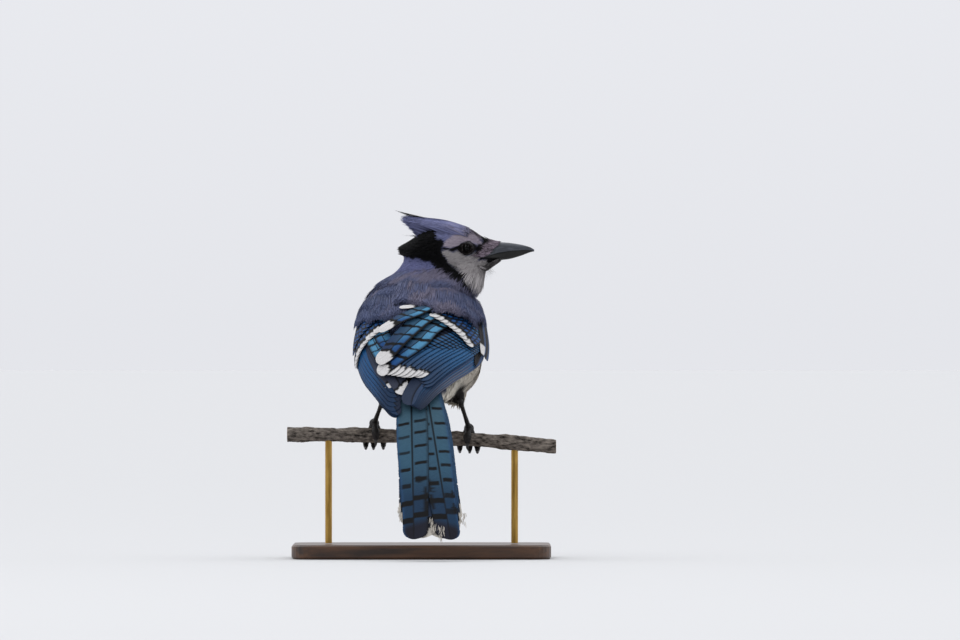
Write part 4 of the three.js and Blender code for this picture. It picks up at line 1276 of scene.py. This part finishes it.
def left_wing(chance):
    inner = [
        ((42, 61, -1.9), (-27, 24, -1.6), 5.2, dict(bow=1.1, point=0.8)),
        ((44, 58, -1.8), (-19.5, 44, -1.6), 4.4, dict(bow=1.1, point=0.7)),
    ]
    secondaries = feather_row(
        5, ((38, 66, -1.9), (-24, 34, -2.2), 5.2), ((35, 82, -2.1), (-38, 50, -1.9), 5),
        bow=1.3, tilt=1.0, point=0.8,
    )
    primaries = [
        *feather_row(
            6, ((36, 84, -2.1), (-41.5, 50, -2.2), 4.6), ((44, 93, -2.3), (-42, 72, -3.7), 3.3),
            bow=1.7, tilt=1.1,
        ),
        ((50, 95, -2.2), (-38, 80, -4), 2.6, dict(bow=2, tilt=1)),
        ((54, 96, -2.2), (-18, 92, -4.1), 2.4, dict(bow=2, tilt=1)),
    ]
    tertials = [
        ([(46, 54, -1.8), (23, 47, -0.6)], (2, 40, -0.8), (4.4, 4.8), dict(point=0.9)),
        ([(50, 44, -1.6), (26, 38, -0.6)], (13, 33, -0.8), (4.4, 4.8), dict(point=0.9)),
    ]
    small_coverts = feather_row(
        8, ((56, 44, -2), (36, 43, 0.3), 3), ((60, 84, -2), (33, 85, -0.4), 3), tilt=0.6, point=0.8
    )
    coverts = feather_row(
        10, ((44, 40, -1.9), (25, 39, 0.7), 3), ((38, 88, -1.9), (19.5, 84, -0.2), 3), tilt=0.6, point=0.8
    )
    outermost = feather_row(5, ((52, 90, -1.9), (20, 87, -1.5), 3.0), ((66, 96, -2.2), (36, 96, -2), 2.4))
    return [
        (inner, lambda i: striped(chance, DUSK, (7, 4.5)[i])),
        (secondaries, lambda i: striped(chance, LEFT_STRIPE, end=LEFT_END)),
        (primaries, lambda i: striped(chance, LEFT_STRIPE * (1 + 0.14 * i), brown=0.03 * i, end=LEFT_END)),
        (tertials, lambda i: barred(6.4, 1.7, 0, chance, (14, 0), 0.16, 0.15, 0.3)),
        (small_coverts, lambda i: barred(4.2, 1.8, 0, chance, (40, 12), 0.16, 0.3)),
        (coverts, lambda i: barred(4.3, 1.8, chance.uniform(3.8, 6.2), chance, (40, 12), 0.16, 0.3)),
        (outermost, lambda i: edged()),
    ]


def wings():
    for name, plan in (("left", left_wing), ("right", right_wing)):
        side = SIDES[name]
        chance = np.random.default_rng(7 + side)
        painted = [(*feather, painter(i)) for row, painter in plan(chance) for i, feather in enumerate(row)]
        parts = [
            fold_feather(side, root, tip, half, paint, chance, **form)
            for root, tip, half, form, paint in painted
        ]
        merge("wing_feathers_" + name, parts, ["wing_" + name])


# The tail: down from its root, across to the bird's right, and over its upper face
TAIL_PITCH = math.radians(44.5)
TAIL_LEAN = math.radians(4.5)
TAIL_ROOT = (-50, 32)
TAIL_LENGTH = 130
# How far below its root the first row lies, and how much short of its length the last
TAIL_START, TAIL_SHORT = 5, 4


def in_tail(down, across, over):
    c, s = math.cos(TAIL_PITCH), math.sin(TAIL_PITCH)
    lean = math.tan(TAIL_LEAN) * s
    y = TAIL_ROOT[0] - down * c - over * s
    return stack(across + down * lean, y, PERCH_Z + TAIL_ROOT[1] - down * s + over * c)


TAIL_OUT = unit(in_tail(0, 0, 1) - in_tail(0, 0, 0))
# Blue near the root, further down and near the end, then the black of the end, and the outer edge
TAIL_BLUE = [linear(code) for code in ("#3a5767", "#315368", "#15304a")]
TAIL_END = linear("#15141f")
TAIL_EDGE = linear("#244468")
TAIL_WHITE = linear("#bfb9b0")
TAIL_WORN = linear("#c3bcb2")


# The distances down the tail of the black bars, on the middle feathers' outer and inner vanes
TAIL_BARS = {
    -1: ([34.4, 45.5, 58.4, 72.4, 85.7, 99.8, 113.8], [33.7, 43.1, 54.3, 68.3, 81.5, 96.5, 110.5]),
    1: ([22, 34.3, 46.3, 57.6, 68.6, 80.8, 93.6, 106.6], [23, 35, 47.2, 59.7, 71.7, 83.7, 97.7, 110.7]),
}
# Dark rents in the worn middle feathers: side, mm down the tail, mm off the shaft, half height, half width
RENTS = [
    (-1, 79, -3.6, 2.6, 2.2),
    (-1, 92, -7.2, 6.5, 1.4),
    (-1, 101, -7.6, 7, 1.8),
    (1, 84, -6.8, 5, 1.5),
    (1, 96, -7, 6, 1.3),
    (1, 90, 5.4, 3, 1.1),
    (1, 101, 5.2, 3.4, 1.3),
]


def tail_paint(side, pair, length, chance):
    """The painter of a tail feather. Pairs count from the middle one, 0, out to the outermost, 5."""
    phase = chance.uniform(0, 6)
    strength = np.clip(chance.normal(0.98, 0.12, (2, 12)), 0.7, 1)

    def paint(far, s, wide):
        down = mix(TAIL_START, length - TAIL_SHORT, 1 - far / length)
        tint = layered(
            TAIL_BLUE[0],
            (TAIL_BLUE[1], smooth(20, 60, down)),
            (TAIL_BLUE[2], smooth(60, 100, down)),
            (TAIL_END, smooth(17, 9, far + 0.4 * wide)),
            (TAIL_EDGE, smooth(0.75, 0.95, s) * 0.7),
            (DUSK, (s < 0) * (0.7 if pair else 0.12)),
        )
        thick = mix(1.1, 2.2, smooth(55, 108, down))
        dash = smooth(0.09, 0.2, np.abs(s)) * smooth(0.98, 0.86, np.abs(s))
        dash = np.maximum(dash, smooth(84, 94, down))
        tilted = (0.2 if side < 0 else 0.04) * side * wide
        for inner, bars_down in enumerate(TAIL_BARS[side]):
            mine = (s < 0) if inner else (s > 0)
            for k, at in enumerate(bars_down):
                at = at * 0.975 - (1.5 * pair) * (k % 2) + pair * 3.1
                bent = down + tilted + 0.14 * np.sin(wide * 1.2 + phase + k)
                near = smooth(thick + 0.3, thick - 0.3, np.abs(bent - at))
                tint = blend(tint, INK, near * mine * dash * strength[inner, k])
        for rent_side, rent_down, off_shaft, tall, broad in RENTS:
            if rent_side == side and pair == 0:
                apart = ((down - rent_down) / tall) ** 2 + ((wide - off_shaft) / broad) ** 2
                ragged = 0.5 * np.sin(wide * 2.9 + down * 0.8) + 0.4 * np.sin(down * 1.9 - wide)
                tint = blend(tint, INK, smooth(1.3, 0.8, apart + ragged) * 0.9)
        thin = mix(0.035, 0.085, smooth(20, 110, far))
        tint = blend(tint, INK, smooth(thin + 0.01, thin * 0.6, np.abs(s)) * 0.9)
        tint = blend(tint, INK, smooth(0.8, 1.0, -s) * 0.6)
        if pair == 0:
            return tint
        white = 3 + 3.2 * pair
        tint = blend(tint, INK, smooth(white + 7, white + 3, far) * 0.7)
        return blend(tint, TAIL_WHITE, smooth(white + 0.7, white - 0.7, far + 0.4 * wide))

    return paint


# Where each pair's shafts lie off the middle, at the root and at the tip. The middle pair lies apart,
# the left one over the right one.
MIDDLE_PAIR = {-1: (6.2, 10.8), 1: (2.6, 10.2)}
PAIR_TIPS = (6.2, 7.8, 9.4, 10.4, 11.2)
LEFT_OVER = 0.35


def tail():
    chance = np.random.default_rng(15)
    parts = []
    for side in SIDES.values():
        for pair in range(6):
            length = TAIL_LENGTH - 1.4 * pair - 0.45 * pair**2
            root, tip = (3 + 0.3 * pair, PAIR_TIPS[pair - 1]) if pair else MIDDLE_PAIR[side]
            over = -0.85 * pair + (LEFT_OVER if side < 0 else 0)
            t = np.linspace(0, 1, int(length / ROW_STEP))
            down = mix(TAIL_START, length - TAIL_SHORT, t)
            points = in_tail(down, mix(side * root, side * tip, t), over - 1.5 * t**2)
            outward = np.broadcast_to(TAIL_OUT, points.shape)
            across = np.broadcast_to(np.array([side, 0.0, 0.0]), points.shape)
            end = np.sqrt(np.clip(1 - ((t - 0.94) / 0.06) ** 2, 0, 1))
            end = np.where(t > 0.94, np.maximum(end, 0.12), 1) * mix(0.82, 1, smooth(0, 0.25, t))
            outer = mix(8.9, 7.4 if pair else 6.2, smooth(0.3, 0.85, t))
            inner = mix(9.4, 8.4, smooth(0.5, 0.95, t))
            half = np.stack([inner * end, outer * end], axis=-1)
            paint = tail_paint(side, pair, length, chance)
            parts.append(vane(points, outward, across, half, length * (1 - t), paint, chance, -0.5, 0.05))
    merge("tail_feathers", parts, ["tail"])
    tail_frays(chance)


# Tufts of worn barbs, at the notch and the sides of the tail's end: across, down, slant, and how many
FRAYS = [(0.6, 117, 0, 34), (-17.6, 108, -0.05, 14), (18.6, 114, 0.1, 12), (5.4, 124, 0, 16)]


def tail_frays(chance):
    roots, tips = [], []
    for across, down, slant, count in FRAYS:
        root = in_tail(down + chance.uniform(-9, 1, count), across + chance.normal(0, 0.8, count), -0.9)
        reach = chance.uniform(3, 6, count)
        way = in_tail(reach, slant * reach + chance.normal(0, 0.4, count), -0.2) - in_tail(0, 0, 0)
        roots.append(root)
        tips.append(root + way)
    root, tip = np.concatenate(roots), np.concatenate(tips)
    tint = TAIL_WORN * chance.uniform(0.6, 1.1, (len(root), 1))
    bend = chance.normal(0, 0.4, len(root))
    coat_piece("tail_frays", root, tip, TAIL_OUT, 0.4, 0.1, tint, 16, 0.1, bend=bend)


# Sections of the bill: x, half width, and top, mouth and bottom over the branch
BILL = [
    (65.6, 0.35, 108.9, 108.2, 107.9),
    (63, 1.1, 110.4, 108.7, 107.3),
    (58, 2.1, 111.8, 108.7, 105.4),
    (51, 3.3, 112.9, 108.1, 103.4),
    (44, 4.5, 113.4, 107.0, 102.7),
    (41, 6.1, 113.6, 106.1, 102.6),
    (38, 7.6, 113.8, 105.1, 102.7),
    (35, 8.8, 114, 104.1, 103.1),
]


def bill():
    x, angle = grid(np.linspace(65.5, 35.1, 64), np.linspace(0, math.pi, 22))
    half, top, mouth, bottom = along(BILL, x)
    keel = np.abs(np.cos(angle)) ** 0.9 * np.sign(np.cos(angle))
    # the halves meet just under the line of the mouth, and the lower one is a little narrower
    for name, edge, sunk, share in (("bill_upper", top, 0.12, 1), ("bill_lower", bottom, 0.1, 0.93)):
        seam = mouth - sunk
        ring = in_head(x, half * share * keel, seam + (edge - seam) * np.sin(angle) ** 0.85)
        made = piece(name + "_horn", *loft(ring), MATERIALS[name], "horn")
        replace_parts(made, name)


# The eyes, sunk into the sides of the head, and how far the iris and the pupil lie inside the ball
EYE_RADIUS, EYE_SUNK = 4.3, 2.4
IRIS_IN, PUPIL_IN = 0.45, 0.25
PUPIL_REACH = 34
LID_TURNS, LID_STEPS = 96, 14


def ball(centre, radius, rows=24, first=0.5, last=179.5):
    """A ball, or a cap of one, about the y axis, between two angles from its right end."""
    polar, turn = grid(np.radians(np.linspace(first, last, rows)), circle(2 * rows))
    flat = radius * np.sin(polar)
    ring = stack(flat * np.cos(turn), radius * np.cos(polar), flat * np.sin(turn))
    return loft(centre + ring)


def lids(head_half, side):
    """Soft folds round an almond opening, which rise from the ball to the face."""
    turn, share = grid(circle(LID_TURNS), np.linspace(0, 1, LID_STEPS))
    inner_x = 3.35 + 0.4 * np.abs(np.cos(turn)) ** 3
    inner_z = np.where(np.sin(turn) > 0, 2.75, 2.85)
    outer_x, outer_z = 4.7 + 0.5 * np.abs(np.cos(turn)) ** 5, 3.6
    dx, dz = mix(inner_x, outer_x, share) * np.cos(turn), mix(inner_z, outer_z, share) * np.sin(turn)
    ball_y = np.sqrt(np.maximum(EYE_RADIUS**2 - dx**2 - dz**2, 0.5)) + head_half - EYE_SUNK
    face_y = along(HEAD, np.clip(EYE_X + dx, -11, 44))[0] - 0.5 - 0.02 * dz**2
    fold = 0.24 * np.exp(-(((share - 0.12) / 0.12) ** 2)) + 0.12 * np.exp(-(((share - 0.5) / 0.1) ** 2))
    grain = 0.05 * np.sin(turn * 37) * smooth(0.1, 0.5, share)
    out = mix(ball_y + 0.12, face_y, smooth(0.1, 0.95, share)) + fold + grain
    ring = in_head(EYE_X + dx, side * out, EYE_Z + dz)
    points, polygons = loft(np.concatenate([ring, ring[:1]]), capped=False)
    # without the faces from the outer rim back to the inner one
    return points, [polygons[0].reshape(LID_TURNS, LID_STEPS, 4)[:, :-1].reshape(-1, 4)]


def eyes():
    head_half = along(HEAD, EYE_X)[0][0]
    for name, side in (("right", -1), ("left", 1)):
        centre = in_head(EYE_X, side * (head_half - EYE_SUNK), EYE_Z)
        clear = piece("cornea_" + name, *ball(centre, EYE_RADIUS), MATERIALS["cornea"], "eye")
        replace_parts(clear, "eye_" + name)
        piece("iris_" + name, *ball(centre, EYE_RADIUS - IRIS_IN), MATERIALS["iris"], "eye")
        ends = (0.5, PUPIL_REACH) if side > 0 else (180 - PUPIL_REACH, 179.5)
        pupil = ball(centre, EYE_RADIUS - PUPIL_IN, 12, *ends)
        piece("pupil_" + name, *pupil, MATERIALS["pupil"], "eye")
        piece("lids_" + name, *lids(head_half, side), MATERIALS["lid"], "eye")


# The perch, which drops, sways and swells a little along its length, as its solid does
def perch_drop(x):
    return -0.045 * x - 0.00035 * x**2


def perch_sway(x):
    return 0.6 * np.sin(x / 17)


def perch_radius(x):
    return 4.2 + 0.3 * np.sin(x / 7)


def on_perch(x, degrees, reach):
    """Points that stand reach off the branch, at degrees from its top towards the bird's front."""
    far, angle = perch_radius(x) + reach, np.radians(degrees)
    return stack(x, perch_sway(x) + far * np.sin(angle), PERCH_Z + perch_drop(x) + far * np.cos(angle))


PERCH_HALF = 78
# Rings of a sawn end: share of the bark's outline, and share of how far it stands out
CUT_RINGS = np.array([(0.8, -1.5), (0.86, -0.2), (0.82, 0.8), (0.5, 1.0), (0.1, 1.1)])


def perch():
    turn = circle(72)
    x, angle = grid(np.linspace(-PERCH_HALF, PERCH_HALF, 420), turn)
    flat = stack(x, 9 * np.cos(angle), 9 * np.sin(angle)).reshape(-1, 3)
    stretched = flat * np.array([0.25, 1, 1])
    rough = wander(stretched, 2.6, 31) * 0.16 + wander(stretched, 1.2, 32) * 0.1 + wander(flat, 9, 33) * 0.25
    cracks = np.minimum(np.abs(wander(stretched, 3.4, 34)) * 4, 1) - 1
    ring = on_perch(x, np.degrees(angle), (rough + 0.3 * cracks).reshape(x.shape) - 0.1)
    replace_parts(piece("branch", *loft(ring), MATERIALS["bark"], "bark"), "perch")
    # the sawn ends, inside the bark and a little proud of it
    for name, rim, out in (("left", ring[0], -0.12), ("right", ring[-1], 0.12)):
        middle = rim.mean(axis=0)
        cut = [middle + (rim - middle) * share + np.array([far, 0, 0]) for share, far in CUT_RINGS * [1, out]]
        piece("sawn_end_" + name, *loft(np.array(cut)), MATERIALS["cut_wood"], "bark")


# The legs: the feet's places on the branch, the pad's radius, and the gap under the toes
FOOT_X = 27.5
PAD = 2.2
GAP = 0.35
# Toes: degrees round the branch where each starts and ends, how far it splays, and its radius
TOES = {
    "inner": (4, 166, -5.3, 1.6),
    "middle": (4, 158, 0.4, 1.7),
    "outer": (4, 170, 4.9, 1.6),
    "hind": (-16, -108, -1, 1.9),
}


def scuted(path, radii, plate, depth, sides=18, up=(0, 0, 1)):
    """A leg or toe whose upper side steps down at the end of each plate, plate mm long."""
    path, radii = np.array(path, float), np.array(radii, float)
    length = np.concatenate([[0], np.cumsum(np.linalg.norm(np.diff(path, axis=0), axis=1))])
    steps = np.linspace(0, length[-1], int(length[-1] / 0.22))
    path = np.stack([np.interp(steps, length, path[:, k]) for k in range(3)], axis=-1)
    for _ in range(8):
        path[1:-1] = (path[:-2] + 2 * path[1:-1] + path[2:]) / 4
    radii = np.interp(steps, length, radii) + depth * ((steps / plate) % 1 - 0.5)
    return tube(path, radii, sides, up)


# The shank at shares of the way down from the heel: its radius
SHANK = [(-0.06, 1.2), (0.04, 1.8), (0.16, 1.25), (0.5, 1.1), (0.85, 1.4), (1, 2.4)]


def legs():
    share, thick = np.array(SHANK).T
    for name, side in SIDES.items():
        bottom = on_perch(side * FOOT_X, -6, GAP + PAD)
        path = leg_place(side, HEEL) * (1 - share[:, None]) + bottom * share[:, None]
        made = piece("shank_" + name, *scuted(path, thick, 2.1, 0.16), MATERIALS["leg"], "leg_scale")
        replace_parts(made, "tarsus_" + name)
        parts = [ball(bottom, PAD + 0.7)]
        for toe, (start, end, splay, radius) in TOES.items():
            t = np.linspace(0, 1, 40)
            x = side * (FOOT_X + splay * np.minimum(1, 1.4 * t))
            way = on_perch(x, mix(start, end, t), GAP + radius)
            swell = radius * (1 + 0.16 * np.cos(3 * math.pi * t)) * mix(1.15, 1.0, t)
            parts.append(scuted(way, swell, 1.25, 0.14, 16, (1, 0, 0)))
            t = np.linspace(0, 1, 30)
            reach = GAP + radius + 1.5 * np.sin(t * math.pi * 0.8)
            hook = on_perch(side * (FOOT_X + splay), end + math.copysign(1, end) * mix(-4, 36, t), reach)
            talon = tube(hook, mix(1.15, 0.1, t**1.5), 14, (1, 0, 0))
            claw = piece(f"talon_{name}_{toe}", *talon, MATERIALS["claw"], "horn")
            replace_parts(claw, f"claw_{name}_{toe}")
        made = piece("toes_" + name, *together(parts), MATERIALS["leg"], "leg_scale")
        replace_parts(made, "foot_" + name)


for make in (coat, crest, ruff, scapulars, bristles, wings, tail, bill, eyes, perch, legs):
    make()
for node, key in (("stand_base", "base"), ("stand_rod_left", "brass"), ("stand_rod_right", "brass")):
    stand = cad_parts[node]
    stand.data.materials.clear()
    stand.data.materials.append(MATERIALS[key])


# The setting: a plain pale floor under soft studio light
FLOOR_RADIUS = 30000
FLOOR_Z = -0.3
# The sky's light near the floor and overhead
SKY_LOW = (0.78, 0.79, 0.83, 1)
SKY_HIGH = (1.9, 1.93, 1.98, 1)
# The photo was taken level, through a long lens: metres, and the width of its field at the bird
CAMERA_FAR = 8.0
PHOTO_WIDTH = 0.5568
AIM_X, AIM_Z = 33.9, 137.9
SENSOR = 36


def light():
    """A wide pale sky, and one large soft window at the upper left, on the camera's side."""
    world = bpy.context.scene.world or bpy.data.worlds.new("sky")
    bpy.context.scene.world = world
    world.use_nodes = True
    world.node_tree.nodes.clear()
    place = add(world, "ShaderNodeTexCoord")
    way = add(world, "ShaderNodeSeparateXYZ", {"Vector": place.outputs["Generated"]})
    tones = ramp(world, way.outputs["Z"], (0.0, SKY_LOW), (0.9, SKY_HIGH))
    # brighter behind the bird than on the camera's side, as in the photo
    inputs = {"Value": way.outputs["Y"], "From Min": -0.6, "From Max": 0.5, "To Min": 0.55, "To Max": 1.0}
    behind = add(world, "ShaderNodeMapRange", inputs, interpolation_type="SMOOTHSTEP")
    inputs = {"Color": tones, "Strength": behind.outputs["Result"]}
    glow = add(world, "ShaderNodeBackground", inputs)
    add(world, "ShaderNodeOutputWorld", {"Surface": glow.outputs[0]})
    lamp = bpy.data.lights.new("window", "AREA")
    lamp.shape = "RECTANGLE"
    lamp.size, lamp.size_y = 1.4, 1.4
    lamp.energy = 5
    window = in_scene("window", lamp)
    window.location = (-1.1, -1.7, 1.9)
    window.rotation_euler = (math.radians(46), 0, math.radians(-33))


def setting():
    mesh = bpy.data.meshes.new("floor")
    turn = circle(96)
    ring = stack(FLOOR_RADIUS * np.cos(turn), FLOOR_RADIUS * np.sin(turn), FLOOR_Z)
    fill(mesh, ring, [np.arange(96)[None]])
    floor = in_scene("floor", mesh)
    mesh.materials.append(plain("floor_paint", "#cdcdce", 0.9, Specular_IOR_Level=0.1))
    light()
    camera = bpy.data.cameras.new("camera")
    camera.sensor_width = SENSOR
    camera.lens = SENSOR * CAMERA_FAR / PHOTO_WIDTH
    camera.clip_start = 0.5
    camera.clip_end = 100
    eye = in_scene("camera", camera)
    eye.location = (AIM_X * MM, BODY_Y * MM - CAMERA_FAR, AIM_Z * MM)
    eye.rotation_euler = (math.radians(90), 0, 0)
    bpy.context.scene.camera = eye
    bpy.context.scene.view_settings.view_transform = "Standard"


setting()
